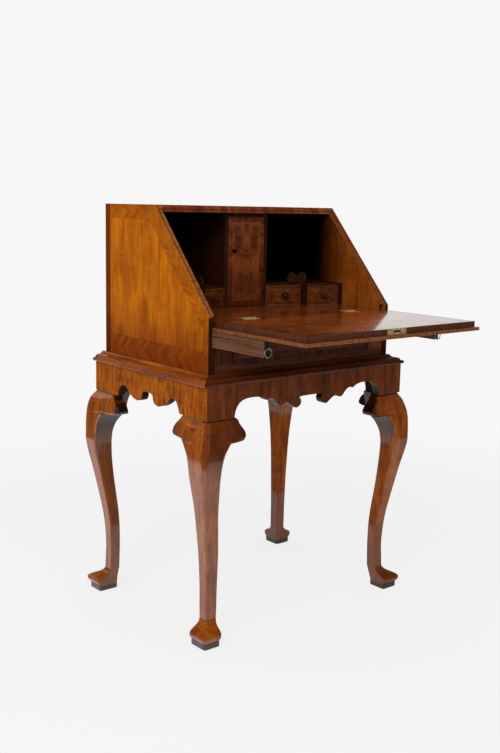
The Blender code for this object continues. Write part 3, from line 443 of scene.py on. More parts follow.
# Walnut veneer, hand polished: warm golden field with a darker feathered border
caseSideLook = dict(
    grain="z", tones=("#743604", "#A85403", "#D07604", "#C88434"), plane=(1, 2), corners=sideCorners,
    bandWidth=48, bandWidths=(48, 23, 33, 34, 20), feather=True, bandTint="#DCD0B0",
    stringing="#5A2C0C", stringShare=0.45, stringWidth=1.6, cloud=(34, 34, 110),
    fade=(635, 790, "#C6AE94"), rough=0.45, shine=0.04, coat=0.02, coatRough=0.12, curlShare=0.3,
    streak=(9, 9, 90), streakShare=0.5, poreShare=0.35, edge=(0, "#A0602C"),
    edgeLine=(-284.5, 0.9), back=(326.5, "#AE9468"), inner=(282, "#582408", "#843E0C", "#A2581A"),
)
caseSideVeneer = timber("walnutVeneerPolishedSide", caseSideLook)
# The far side is seen from inside, with painted shade deepening towards the back
farSideLook = dict(caseSideLook, deep=(20, 175, "#0C0604"), edge=(0, "#7A4220"), edgeLine=(284.5, 0.9))
farSideVeneer = timber("walnutVeneerPolishedFarSide", farSideLook)

# Walnut veneer on the top, redder, with its banding
topLook = dict(
    grain="x", tones=("#4E2008", "#8A4214", "#A86024", "#B06830"), plane=(0, 1),
    corners=boxCorners("top_board", 0, 1), bandWidth=24, bandTint="#B88A6A", rough=0.38, coat=0.15,
    coatRough=0.15,
)
topVeneer = timber("walnutVeneerPolishedTop", topLook)

# Walnut veneer of the fall, french polished: reddish brown with a light line near the edge
fallLook = dict(
    grain="x", tones=("#441404", "#903A08", "#B05812", "#8A5A38"), plane=(0, 1),
    corners=boxCorners("fall_panel", 0, 1), bandWidth=24, bandTint="#B08A70", stringing="#8A5C30",
    stringShare=0.55, stringWidth=1.4, rough=0.36, shine=0.3, coat=1, coatRough=0.08,
    cloud=(60, 60, 60), streakShare=0.5, edge=(2, "#5A2E18"),
)
fallVeneer = timber("walnutVeneerPolishedFall", fallLook)

bedLook = dict(
    grain="x", tones=("#381208", "#702C08", "#904612", "#6A4224"), rough=0.36, coat=1, coatRough=0.06,
)
bedVeneer = timber("walnutVeneerPolishedBed", bedLook)

# Door: two leaves of figured veneer opened like a book, inside a feathered border with a line
doorLook = dict(
    grain="z", bookmatch=True, tones=("#240C04", "#54240A", "#9A4C14", "#7A5232"), plane=(0, 2),
    corners=boxCorners("cupboard_door", 0, 2), bandWidth=15, feather=True, bandTint="#D8BCA8",
    stringing="#9A6A38", stringWidth=1.6, stringShare=0.6, rough=0.38, shine=0.2, coat=0.15,
    cloud=(22, 22, 40), curl=(34, 34, 12), curlShare=0.4, streakShare=0.4,
    # Lower down the door is painted darker and greyer, a painted dark reflection
    fade=(800, 900, "#C8BCB0"),
)
doorVeneer = timber("walnutVeneerFiguredDoor", doorLook)


# The front of a small drawer, with a feathered border and a pale line at the corners of its own panel
def drawerFrontVeneer(node):
    look = dict(
        grain="x", tones=("#180802", "#481C06", "#7A3E12", "#A07850"), plane=(0, 2),
        corners=boxCorners(node, 0, 2), bandWidth=7, feather=True, bandTint="#D0B8A4",
        stringing="#8A6440", stringWidth=1, stringAt=1, stringShare=0.5, rough=0.38, shine=0.15,
        coat=0.15, cloud=(11, 11, 22), curlShare=0.5, wearRadius=0.001, wearShare=0.7,
    )
    return timber("walnutVeneer" + node.title().replace("_", ""), look)


# Solid walnut of the stand, polished and darkened by handling: deep brown with light on the arrises. Its
# darker faces, joint, ear tips and foot blocks are painted shade
legLook = dict(
    grain="z", tones=("#401804", "#883C08", "#AC5A12", "#A06A34"), rough=0.4, shine=0.05, coat=1,
    coatRough=0.08, coatIor=1.8, wearRadius=0.002, wearShare=0.25, seam=525.5,
    leeShade=(1, "#AA9E98", 380, 450, 0.3), tips=(sideMiddle * 1000, (214, 226), (120, 134)),
    cloud=(22, 22, 90), bump=0.12, base=12.6, poreShare=0.3, streak=(6, 6, 160),
    streakShare=0.5,
)
legWalnut = timber("walnutSolidPolishedLeg", legLook)
# The back legs are a copy whose front faces get darker painted shade
backLegLook = dict(legLook, leeShade=(1, "#5E524A", 380, 450, 0.5))
backLegWalnut = timber("walnutSolidPolishedBackLeg", backLegLook)
# The right legs are a copy with painted shade on faces that look left above the knees, darker and greyer
# low down
rightLegLook = dict(
    legLook, leeShade=(0, "#6A5E58", 380, 450, 0), coat=0.55, fade=(20, 260, "#B4A49C"))
rightLegWalnut = timber("walnutSolidPolishedRightLeg", rightLegLook)

# This darker walnut, on the front apron and back rail, is painted shade on faces turned from the light; its
# wide pale arrises are partly wear and partly a painted highlight on the frieze's rounded corner
frontApronLook = dict(
    grain="z", tones=("#2E0F04", "#602A0C", "#803E14", "#9A6030"), rough=0.36, shine=0.15, coat=0.15,
    coatRough=0.14, wearShare=0.7, wearRadius=0.003, streak=(14, 14, 90), edge=(1, "#1E0C06"),
)
frontApronWalnut = timber("walnutVeneeredFrontApron", frontApronLook)

sideApronLook = dict(
    grain="z", tones=("#3E1A04", "#984406", "#B8640A", "#C08A40"), rough=0.42, shine=0.06, coat=0.03,
    coatRough=0.14, wearShare=0.4, edge=(0, "#241008"), streak=(9, 9, 45), streakShare=0.75,
    cloud=(22, 22, 50),
)
sideApronWalnut = timber("walnutVeneeredSideApron", sideApronLook)

# The front moulding is darker than the side ones: painted shade on the face turned from the light
frontMouldingLook = dict(
    grain="x", tones=("#220A04", "#421806", "#602C0E", "#82502C"), rough=0.34, shine=0.15, coat=0.5,
    coatRough=0.08, wearShare=0.3,
)
frontMouldingWalnut = timber("walnutMouldingFront", frontMouldingLook)
sideMouldingLook = dict(
    frontMouldingLook, grain="y", tones=("#3E1804", "#7A3004", "#A8540C", "#C88848"), coat=0.8, shine=0.1,
    wearShare=0.5, wearRadius=0.0024, streak=(5, 5, 90))
sideMouldingWalnut = timber("walnutMouldingSide", sideMouldingLook)

# Dark walnut of the long drawer, with a feathered border, and of the plain stiles beside it. The left stile
# is darker still, painted shade under the loper, and the right one lighter
longDrawerLook = dict(
    grain="x", tones=("#200A04", "#4A200C", "#6C3A1A", "#82562E"), plane=(0, 2),
    corners=boxCorners("drawer_front", 0, 2), bandWidth=14, feather=True, bandTint="#A88468",
    rough=0.4, shine=0.2, coat=0.2,
)
longDrawerVeneer = timber("walnutVeneerLongDrawer", longDrawerLook)
stileLook = dict(
    grain="z", tones=("#1C0A04", "#3E1A08", "#542A0E", "#7A4A22"), rough=0.38, shine=0.15, coat=0.2,
    wearShare=0.4,
)
shadedLeftStileWalnut = timber("walnutCrossbandedLeftStileShaded", stileLook)
rightStileLook = dict(stileLook, tones=("#301206", "#66300E", "#824414", "#7A4A22"))
rightStileWalnut = timber("walnutCrossbandedRightStile", rightStileLook)

bottomLook = dict(stileLook, grain="x", tones=("#1C0A04", "#4A1E0A", "#6A3414", "#9A6A3C"), wearShare=0.8)
bottomWalnut = timber("walnutBottomRail", bottomLook)

# Lipping round the fall: walnut, paler where it is rubbed. Its outer face, seen when the fall is closed, is
# veneered and banded like the sides.
lippingLook = dict(
    grain="x", tones=("#4A1C08", "#8C440E", "#AE661E", "#B08860"), plane=(0, 1),
    corners=boxCorners("fall_lipping", 0, 1), bandWidth=34, feather=True, bandTint="#CDB090",
    stringing="#54280C", stringShare=0.5, cloud=(50, 50, 90), streakShare=0.4, rough=0.38,
    shine=0.1, coat=0.2, wearShare=0.6, edge=(2, "#8A5632"),
)
lippingWalnut = timber("walnutLippingRubbed", lippingLook)
loperLook = dict(
    grain="y", tones=("#28120A", "#5E3620", "#7A5036", "#9A7856"), rough=0.45, shine=0.2, coat=0.1,
    wearShare=0.6, edge=(0, "#2E180C"),
)
loperWalnut = timber("walnutLoperHandled", loperLook)
interiorLook = dict(
    grain="z", tones=("#100502", "#2A1006", "#3E1C0A", "#4A2C16"), rough=0.4, shine=0.15, coat=0.1,
)
interiorWalnut = timber("walnutInteriorUpright", interiorLook)
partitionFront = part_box("letter_partition_right")[0][1] * 1000
# The partitions are painted nearly black, painted shade, with painted light on their lower scrolls and
# painted shade going to black towards the back
partitionLook = dict(
    grain="z", tones=("#060302", "#0C0604", "#120A06", "#1A100A"), rough=0.6, shine=0.05, coat=0,
    wearShare=0, crest=(834, 846, "#4A2810"),
    deep=(partitionFront + 58, partitionFront + 80, "#000000"),
)
partitionWalnut = timber("walnutPartitionShaded", partitionLook)
knobLook = dict(
    grain="y", tones=("#120602", "#2E1408", "#44220E", "#4A2C16"), rough=0.35, shine=0.2, coat=0.3,
    coatRough=0.15, wearShare=0.2,
)
knobWalnut = timber("walnutTurnedKnob", knobLook)

# Oak of the hidden carcase: dry, unpolished and browned
liningLook = dict(
    grain="x", tones=("#4A2C14", "#7A5028", "#94683A", "#A07A50"), rough=0.7, coat=0, bump=0.5,
)
liningWood = timber("oakLiningDry", liningLook)
# Nearly black boards at the back
backLook = dict(
    grain="z", tones=("#0E0603", "#20120A", "#302012", "#3A2818"), rough=0.7, shine=0.1, coat=0,
    bump=0.5,
)
backWood = timber("oakBackNearBlack", backLook)

brassLook = dict(bright="#C2A064", dull="#8A6A3A", rubbed="#E2C890", rough=0.32)
agedBrass = agedMetal("brassAgedCast", brassLook)
plateLook = dict(bright="#F2DCA4", dull="#B8945A", rubbed="#FFF2CC", rough=0.42, metal=0.55)
plateBrass = agedMetal("brassPlateRubbed", plateLook)
dullLook = dict(bright="#5A3E22", dull="#33200F", rubbed="#7A5A34", rough=0.5)
dullBrass = agedMetal("brassDulledDark", dullLook)
ironLook = dict(bright="#6E665C", dull="#3E3832", rubbed="#8E877C", rough=0.45)
darkIron = agedMetal("ironForgedDark", ironLook)
steelLook = dict(bright="#B8AEA2", dull="#7A7066", rubbed="#E6DED4", rough=0.3)
paleSteel = agedMetal("steelRingRubbed", steelLook)
print("materials made:", len(bpy.data.materials))


# How far arrises are eased, by the size of the piece. A piece with None keeps them as they are.
arris = dict(fine=0.0004, thin=0.0005, board=0.0006, thick=0.0008)


# A CAD solid keeps its shape and gets its finish, with its arrises just eased
def dress(material, easing, *names):
    for name in names:
        node = nodes[name]
        node.data.materials.clear()
        node.data.materials.append(material)
        if easing:
            weld = node.modifiers.new("weld", "WELD")
            weld.merge_threshold = 0.00001
            bevel = node.modifiers.new("arris", "BEVEL")
            bevel.width = arris[easing]
            bevel.segments = 2
            bevel.limit_method = "ANGLE"
            bevel.angle_limit = math.radians(50)


dress(caseSideVeneer, "board", "case_side_left")
dress(farSideVeneer, "board", "case_side_right")
dress(topVeneer, "board", "top_board")
dress(fallVeneer, "thin", "fall_panel")
dress(bedVeneer, "thin", "writing_bed")
dress(doorVeneer, "thin", "cupboard_door")
for side in ("left", "right"):
    for bay in ("inner", "outer"):
        name = "small_drawer_" + bay + "_" + side
        dress(drawerFrontVeneer(name), "fine", name)
        dress(knobWalnut, None, name + "_knob")
    dress(interiorWalnut, "thin", "drawer_housing_" + side, "cupboard_side_" + side)
    dress(partitionWalnut, "thin", "letter_partition_" + side)
    dress(loperWalnut, "board", "loper_" + side)
    dress(agedBrass, None, "drawer_knob_" + side)
    ringMetal = paleSteel if side == "left" else agedBrass
    dress(ringMetal, None, "ring_" + side, "ring_eye_" + side)
    dress(plateBrass, None, "hinge_bed_leaf_" + side, "hinge_fall_leaf_" + side)
    stileFinish = shadedLeftStileWalnut if side == "left" else rightStileWalnut
    dress(stileFinish, "thin", "stile_" + side)
    dress(liningWood, None, "guide_" + side)
    dress(sideApronWalnut, "thick", "apron_" + side)
    dress(sideMouldingWalnut, None, "moulding_" + side)
dress(interiorWalnut, "thin", "cupboard_head")
dress(longDrawerVeneer, "board", "drawer_front")
dress(liningWood, None, "drawer_box")
dress(bottomWalnut, "thin", "bottom_board")
dress(backWood, None, "back_board")
dress(lippingWalnut, "thick", "fall_lipping")
dress(frontApronWalnut, "thick", "apron_front", "back_rail")
dress(frontMouldingWalnut, None, "moulding_front")
dress(plateBrass, None, "lock_plate")
dress(dullBrass, None, "door_knob")
dress(darkIron, None, "lock_bolt")
for level in ("upper", "lower"):
    leaf = "door_hinge_" + level
    dress(dullBrass, None, leaf + "_fixed_leaf", leaf + "_moving_leaf")
print("solids dressed")


# A mesh from rings of points, closed round each ring, with capped ends
def gridMesh(name, grid, material, smoothAngle=40.0):
    rows, columns = grid.shape[:2]
    points = grid.reshape(-1, 3)
    row, column = np.meshgrid(np.arange(rows - 1), np.arange(columns), indexing="ij")
    follow = (column + 1) % columns
    quads = np.stack([
        row * columns + column, row * columns + follow,
        (row + 1) * columns + follow, (row + 1) * columns + column], axis=-1).reshape(-1, 4)
    faces = quads.tolist()
    faces.append(list(range(columns - 1, -1, -1)))
    faces.append(list(range((rows - 1) * columns, rows * columns)))
    mesh = bpy.data.meshes.new(name)
    mesh.from_pydata(points.tolist(), [], faces)
    mesh.update()
    mesh.shade_smooth()
    mesh.set_sharp_from_angle(angle=math.radians(smoothAngle))
    mesh.materials.append(material)
    made = bpy.data.objects.new(name, mesh)
    bpy.context.scene.collection.objects.link(made)
    return made


# A cubic from here to there, with the slopes that it leaves and arrives with
def cubic(share, here, leaving, there, arriving):
    return (
        here * (2 * share ** 3 - 3 * share ** 2 + 1) + leaving * (share ** 3 - 2 * share ** 2 + share)
        + there * (3 * share ** 2 - 2 * share ** 3) + arriving * (share ** 3 - share ** 2))


# A smooth curve through given values that adds no bumps between them: cubic, level wherever the values turn
def eased(levels, knots, values):
    knots = np.asarray(knots)
    values = np.asarray(values)
    step = np.diff(knots)
    slope = np.diff(values) / step
    tangent = np.zeros_like(values)
    turning = slope[:-1] * slope[1:] <= 0
    mean = 2 * slope[:-1] * slope[1:] / np.where(turning, 1.0, slope[:-1] + slope[1:])
    tangent[1:-1] = np.where(turning, 0.0, mean)
    tangent[0] = slope[0]
    tangent[-1] = slope[-1]
    index = np.clip(np.searchsorted(knots, levels) - 1, 0, len(knots) - 2)
    share = (levels - knots[index]) / step[index]
    leaving = tangent[index] * step[index]
    arriving = tangent[index + 1] * step[index]
    return cubic(share, values[index], leaving, values[index + 1], arriving)


legShape = dict(
    halfWidth=0.3164, halfDepth=0.2334, middle=sideMiddle, outerRound=0.16, edgeRound=0.1,
    levels=260, postSide=0.044, postCorner=0.0203, postHead=0.6057,
    # The corner's first points as shares of its length: round at the foot, a flat cant higher up
    roundCorner=((0.293, 0.293), (0.5, 0.134), (0.741, 0.034)),
    cantCorner=((0.44, 0.44), (0.737, 0.14), (0.86, 0.04)), cantFrom=0.05, cantFull=0.09,
    earStart=0.4772, earFull=0.4812, earThickness=0.024, earProud=0.55, earLevels=60,
    # A ring's points: along a face, round an edge and round the inner corner, then how deep the leg is
    # behind the edge and at the core, as shares of its side, and how much the ear's back thickens
    faceSteps=14, edgeTurns=(22.5, 45.0, 67.5, 90.0), coreTurns=(0.0, 15.0, 30.0, 45.0),
    edgeDepth=0.45, coreDepth=0.75, earThicker=0.0005,
    # level, distance of the outer corner beyond the frieze, side of the section
    sections=(
        (0.000, 0.0092, 0.0438), (0.002, 0.0096, 0.0446), (0.0125, 0.0096, 0.0446),
        (0.014, 0.009, 0.044), (0.016, 0.0118, 0.0472), (0.0195, 0.0142, 0.0504),
        (0.0235, 0.0156, 0.0526), (0.0275, 0.0158, 0.0536), (0.031, 0.0138, 0.0524),
        (0.0338, 0.01, 0.0491), (0.037, 0.004, 0.0438), (0.0405, -0.0035, 0.037),
        (0.044, -0.0095, 0.0318), (0.049, -0.015, 0.0273), (0.056, -0.018, 0.0258),
        (0.078, -0.0183, 0.0262), (0.115, -0.0191, 0.0263), (0.16, -0.0176, 0.0277),
        (0.205, -0.0137, 0.0296), (0.25, -0.007, 0.0322), (0.295, 0.0005, 0.0352),
        (0.335, 0.0076, 0.0389), (0.375, 0.0157, 0.0449), (0.405, 0.0205, 0.0498),
        (0.43, 0.0227, 0.055), (0.446, 0.0228, 0.06), (0.46, 0.0222, 0.0668),
        (0.47, 0.0209, 0.0732), (0.4772, 0.0198, 0.078), (0.4812, 0.0189, 0.077),
        (0.4845, 0.018, 0.0758), (0.4895, 0.0164, 0.074), (0.495, 0.0145, 0.073),
        (0.503, 0.0117, 0.0712), (0.511, 0.0086, 0.0695), (0.5165, 0.0056, 0.068),
        (0.522, 0.0026, 0.0665), (0.527, 0.0, 0.0648), (0.5304, -0.002, 0.0633)),
    # level, how far the front ear and the side ear reach inward from the frieze corner
    ears=(
        (0.4772, 0.06, 0.056), (0.4784, 0.0886, 0.064), (0.4798, 0.0985, 0.074),
        (0.4812, 0.101, 0.1017), (0.4845, 0.1036, 0.1125), (0.4895, 0.1044, 0.115),
        (0.495, 0.1032, 0.1137), (0.503, 0.0984, 0.1098), (0.511, 0.0912, 0.1022),
        (0.5165, 0.0868, 0.0955), (0.522, 0.0857, 0.091), (0.527, 0.0818, 0.0888),
        (0.5304, 0.079, 0.0885)),
)


# The four legs were shaped by hand and differ. Each row is a level in metres, then in millimetres how much
# further out the leg goes across and along, and how much further in across and along. The outer values
# are 0 at the knees, so that the legs stay inside the solids' box.
legDifference = dict(
    front_left=(
        (0.0, 0, 6, 1, 3), (0.0125, 0, 6, 1, 3), (0.03, 0, 4, 1, 0), (0.056, 0, 3, 4, -1),
        (0.12, 1, 3, 4.5, -1), (0.208, 1, 3, 5, 0), (0.256, 1, 3, 3.5, 2), (0.304, 1.5, 2, 2, 3),
        (0.352, 1.5, 1.5, 1, 6), (0.4, 1.5, 1.5, -1, 9), (0.43, 0, 0, 0, 10), (0.448, 0, 0, 0, 10),
        (0.4772, 1, 1, 0, 10), (0.48, 1, 1, 5, 8), (0.4895, 1, 1, 6, 7), (0.503, 1, 1, 6, 8),
        (0.5165, 1, 1, 8, 10), (0.527, 1, 1, 7, 8), (0.5304, 0.5, 0.5, 5, 6)),
    back_left=(
        (0.0, 4.7, 4.7, 4, 4), (0.0125, 4.7, 4.7, 4, 4), (0.03, 5.6, 5.6, 2, 2), (0.056, 4, 4, -1, -1),
        (0.12, 3.5, 3.5, -1.5, -1.5), (0.25, 3.5, 3.5, -1, -1), (0.35, 3.5, 3.5, 0, 0),
        (0.4, 2.5, 2.5, 1, 1), (0.43, 0, 0, 1, 1), (0.45, 0, 0, 1, 1), (0.48, 3, 3, 1, 1),
        (0.5, 6, 6, 0, 2), (0.515, 7, 7, 0, 3), (0.5304, 4, 4, 0, 3)),
    front_right=(
        (0.0, 1, 1, 5, 5), (0.0125, 1, 1, 5, 5), (0.03, 1, 1, 5, 5), (0.056, 0.5, 0.5, 3.5, 3.5),
        (0.12, 0, 0, 3, 3), (0.25, 1, 1, 2.5, 2.5), (0.35, 1.5, 1.5, 4, 4), (0.4, 2, 2, 4, 4),
        (0.43, 0, 0, 5, 5), (0.448, 0, 0, 6, 6), (0.4772, 2, 2, 6, 6), (0.5, 3, 3, 5, 5),
        (0.515, 3, 3, 4, 4), (0.5304, 1, 1, 3, 3)),
    back_right=(
        (0.0, 3.6, 2, 0, 6), (0.0125, 3.6, 2, 0, 6), (0.03, 3.6, 0, 0, 4), (0.056, 4, -1, 0, 4),
        (0.12, 4, -1, 0, 4), (0.25, 3, -1, 0, 4), (0.35, 2.5, 0, 0, 4), (0.4, 2, 0, 0, 5),
        (0.43, 0, 0, 0, 7), (0.448, 0, 0, 0, 7), (0.4772, 1, 1, 0, 7), (0.5, 3, 3, 0, 6),
        (0.515, 3, 3, 0, 5), (0.5304, 1, 1, 0, 3)),
)


# Half of a leg's ring at every level, from the outer corner's diagonal round to the inner one: the round or
# canted corner, a face that draws in with the square of the way along, a rounded end, the back of the ear
# and the inner corner
def halfRing(beyond, size, reach, weight, cant):
    shape = legShape
    core = size - beyond
    outerRound = size * shape["outerRound"]
    edge = size * shape["edgeRound"]
    proud = np.where(beyond > 0, beyond * (1 - weight * (1 - shape["earProud"])), beyond)
    columns = []

    def add(along, depth):
        both = [np.broadcast_to(value, size.shape) for value in (along, depth)]
        columns.append(np.stack(both, axis=-1))

    for (roundAlong, roundDepth), (cantAlong, cantDepth) in zip(shape["roundCorner"], shape["cantCorner"]):
        along = roundAlong + (cantAlong - roundAlong) * cant
        depth = roundDepth + (cantDepth - roundDepth) * cant
        add(outerRound * along - beyond, outerRound * depth - beyond)
    start = outerRound - beyond
    stop = reach - edge
    for share in np.linspace(0.0, 1.0, shape["faceSteps"]):
        add(start + (stop - start) * share, -(beyond - (beyond - proud) * share ** 2))
    for angle in np.radians(shape["edgeTurns"]):
        add(stop + edge * math.sin(angle), edge - proud - edge * math.cos(angle))
    back = shape["earThickness"]
    add(reach, (shape["edgeDepth"] * size - beyond) * (1 - weight) + back * weight)
    add(core, (shape["coreDepth"] * size - beyond) * (1 - weight) + (back + shape["earThicker"]) * weight)
    for angle in np.radians(shape["coreTurns"]):
        add(core - edge + edge * math.cos(angle), core - edge + edge * math.sin(angle))
    return np.stack(columns, axis=1)


# A cabriole leg with its ears in one: rings at many levels, whose sizes follow eased curves of the level
def makeLeg(name, sideX, sideY, difference):
    shape = legShape
    knots, beyond, size = np.array(shape["sections"]).T
    earKnots, frontReach, sideReach = np.array(shape["ears"]).T
    ears = np.linspace(shape["earStart"], knots[-1], shape["earLevels"])
    levels = np.unique(np.concatenate([np.linspace(0.0, knots[-1], shape["levels"]), knots, ears]))
    beyond = eased(levels, knots, beyond)
    size = eased(levels, knots, size)
    share = np.clip((levels - shape["earStart"]) / (shape["earFull"] - shape["earStart"]), 0.0, 1.0)
    weight = share * share * (3 - 2 * share)
    core = size - beyond
    reaches = []
    for reach in (frontReach, sideReach):
        wide = np.maximum(core, eased(levels, earKnots, reach))
        reaches.append(np.where(levels > shape["earStart"], wide, core))
    frontWeight = weight
    if sideY > 0:
        reaches[0] = core
        frontWeight = weight * 0.0
    cant = np.clip((levels - shape["cantFrom"]) / (shape["cantFull"] - shape["cantFrom"]), 0.0, 1.0)
    front = halfRing(beyond, size, reaches[0], frontWeight, cant)
    flank = halfRing(beyond, size, reaches[1], weight, cant)[..., ::-1]
    rings = np.concatenate([front, flank[:, -2:0:-1]], axis=1)
    # The outer corner moves by the outer difference, the inner side by the inner one, with a blend between
    table = np.array(difference)
    shift = [eased(levels, table[:, 0], table[:, column] / 1000) for column in range(1, 5)]
    inward = np.clip((rings + beyond[:, None, None]) / size[:, None, None], 0.0, 1.0)
    outShift = np.stack(shift[:2], axis=-1)[:, None]
    inShift = np.stack(shift[2:], axis=-1)[:, None]
    rings = rings - outShift * (1 - inward) + inShift * inward
    # The square post behind the frieze
    post = np.full(2, shape["postSide"])
    inset = np.full(2, -shape["postCorner"])
    plain = halfRing(inset, post, post - inset, np.zeros(2), np.ones(2))
    posts = np.concatenate([plain, plain[..., ::-1][:, -2:0:-1]], axis=1)
    rings = np.concatenate([rings, posts])
    levels = np.concatenate([levels, [knots[-1], shape["postHead"]]])
    ringX = sideX * (shape["halfWidth"] - rings[..., 0])
    ringY = shape["middle"] + sideY * (shape["halfDepth"] - rings[..., 1])
    if sideX * sideY > 0:
        ringX = ringX[:, ::-1]
        ringY = ringY[:, ::-1]
    grid = np.stack([ringX, ringY, np.broadcast_to(levels[:, None], ringX.shape)], axis=-1)
    material = backLegWalnut if sideY > 0 else legWalnut
    if sideX > 0:
        material = rightLegWalnut
    return gridMesh(name, grid, material)


# Points along a smooth line through knots, with sharp corners where a third value stands
def smoothLine(points, steps=5):
    sharp = [number for number, point in enumerate(points[1:-1], 1) if len(point) == 3]
    corners = [0, *sharp, len(points) - 1]
    pieces = []
    share = np.linspace(0.0, 1.0, steps, endpoint=False)[:, None]
    for start, end in zip(corners, corners[1:]):
        run = np.array([point[:2] for point in points[start:end + 1]])
        if len(run) == 2:
            pieces.append(run[:1])
            continue
        ends = np.vstack([2 * run[0] - run[1], run, 2 * run[-1] - run[-2]])
        for number in range(len(run) - 1):
            before, here, there, after = ends[number:number + 4]
            pieces.append(cubic(share, here, (there - before) / 2, there, (after - here) / 2))
    pieces.append(np.array([points[-1][:2]]))
    return np.vstack(pieces)


for wordY, sideY in (("front", -1), ("back", 1)):
    for wordX, sideX in (("left", -1), ("right", 1)):
        word = wordY + "_" + wordX
        leg = makeLeg("cabrioleLeg_" + word, sideX, sideY, legDifference[word])
        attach(leg, "base")
        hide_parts("leg_" + word)
print("legs made")


mouldingShape = dict(
    gap=0.0003, caseHalf=0.2915, foot=0.606, smoothAngle=32.0,
    standBack=legShape["middle"] + legShape["halfDepth"],
    # out from the case and up from its foot, with a third value at sharp corners
    profile=(
        (0.0, 0.0003, 1), (0.031, 0.0003, 1), (0.0328, 0.0018), (0.0334, 0.0045), (0.0326, 0.0072),
        (0.0304, 0.009, 1), (0.0268, 0.0092, 1), (0.0262, 0.0106), (0.025, 0.013), (0.0215, 0.0152),
        (0.0165, 0.0162), (0.0115, 0.0176), (0.008, 0.0198), (0.0066, 0.0216, 1), (0.006, 0.0235, 1),
        (0.0, 0.0235)),
)


# A length of base moulding: its profile carried between two mitres, or from a mitre to the back
def makeMoulding(node, ends, material):
    shape = mouldingShape
    line = smoothLine(shape["profile"])
    out = line[:, 0] + shape["gap"]
    level = shape["foot"] + line[:, 1]
    rows = []
    for side, reachesFront, clear in ends:
        acrossPlace = side * (shape["caseHalf"] + out) + clear[0]
        frontPlace = caseFront - out + clear[1]
        depthPlace = frontPlace if reachesFront else np.full_like(out, shape["standBack"])
        rows.append(np.stack([acrossPlace, depthPlace, level], axis=-1))
    made = gridMesh("moulded_" + node, np.stack(rows), material, shape["smoothAngle"])
    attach(made, "base")
    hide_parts(node)


halfGap = mouldingShape["gap"] / 2
frontEnds = ((-1, True, (halfGap, 0.0)), (1, True, (-halfGap, 0.0)))
leftEnds = ((-1, False, (0.0, 0.0)), (-1, True, (0.0, halfGap)))
rightEnds = ((1, True, (0.0, halfGap)), (1, False, (0.0, 0.0)))
makeMoulding("moulding_front", frontEnds, frontMouldingWalnut)
makeMoulding("moulding_left", leftEnds, sideMouldingWalnut)
makeMoulding("moulding_right", rightEnds, sideMouldingWalnut)
print("mouldings made")


knobShape = dict(
    # half of its height, in shares of the radius, and how many degrees the small drawers' knobs point aside
    steps=48, half=1.05, inner=15.6, outer=19.8,
    # half outline from the tip to the foot, in shares of the radius: out, up
    profile=(
        (0.0, 2.1), (0.45, 2.06), (0.82, 1.82), (1.0, 1.45), (0.92, 1.08), (0.62, 0.78), (0.42, 0.52),
        (0.42, 0.3), (0.72, 0.14), (0.72, 0.0)),
)


# A turned knob: its half outline carried round the axis from the foot, along the way it points
def makeKnob(name, foot, pointing, radius, material):
    line = smoothLine(knobShape["profile"])[::-1] * radius
    angle = np.linspace(0.0, 2 * math.pi, knobShape["steps"], endpoint=False)
    out = Vector(pointing).normalized()
    first = np.array(Vector((0.0, 0.0, 1.0)).cross(out).normalized())
    second = np.array(out.cross(Vector(first)))
    away = line[:, 0].clip(radius * 0.001)[:, None, None]
    grid = (
        np.array(foot) + line[:, 1][:, None, None] * np.array(out)
        + away * (np.cos(angle)[None, :, None] * first + np.sin(angle)[None, :, None] * second))
    return gridMesh(name, grid, material)


# A node's knob is redrawn around the middle of its own box, pointing to the front or slanted aside
def redrawKnob(node, body, material, slant=0.0):
    low, high = [np.array(corner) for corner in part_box(node)]
    radius = (high[2] - low[2]) / 2
    pointing = np.array((-math.sin(slant), -math.cos(slant), 0.0))
    foot = (low + high) / 2 - pointing * radius * knobShape["half"]
    knob = makeKnob("turned_" + node, foot, pointing, radius, material)
    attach(knob, body)
    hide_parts(node)


for side, sign in (("left", -1), ("right", 1)):
    for bay in ("inner", "outer"):
        name = "small_drawer_" + bay + "_" + side
        redrawKnob(name + "_knob", name, knobWalnut, sign * math.radians(knobShape[bay]))
    redrawKnob("drawer_knob_" + side, "long_drawer", agedBrass)
redrawKnob("door_knob", "door", dullBrass)
print("knobs made")

# Camera, set where the photograph was taken
cameraPlace = dict(
    position=(-1.6063, -1.79195, 1.0037), yaw=-40.0051, pitch=-9.8898, roll=1.2113,
    lens=47.015, sensor=36.0,
)
yaw, pitch, roll = [math.radians(cameraPlace[key]) for key in ("yaw", "pitch", "roll")]
forward = Vector((-math.sin(yaw) * math.cos(pitch), math.cos(yaw) * math.cos(pitch), math.sin(pitch)))
right = Vector((math.cos(yaw), math.sin(yaw), 0.0))
up = right.cross(forward)
tiltedRight = math.cos(roll) * right + math.sin(roll) * up
tiltedUp = -math.sin(roll) * right + math.cos(roll) * up
eye = bpy.data.cameras.new("camera")
eye.lens = cameraPlace["lens"]
eye.sensor_width = cameraPlace["sensor"]
eye.sensor_fit = "AUTO"
camera = bpy.data.objects.new("camera", eye)
turning = Matrix((tiltedRight, tiltedUp, -forward)).transposed().to_4x4()
camera.matrix_world = Matrix.Translation(cameraPlace["position"]) @ turning
bpy.context.scene.collection.objects.link(camera)
bpy.context.scene.camera = camera

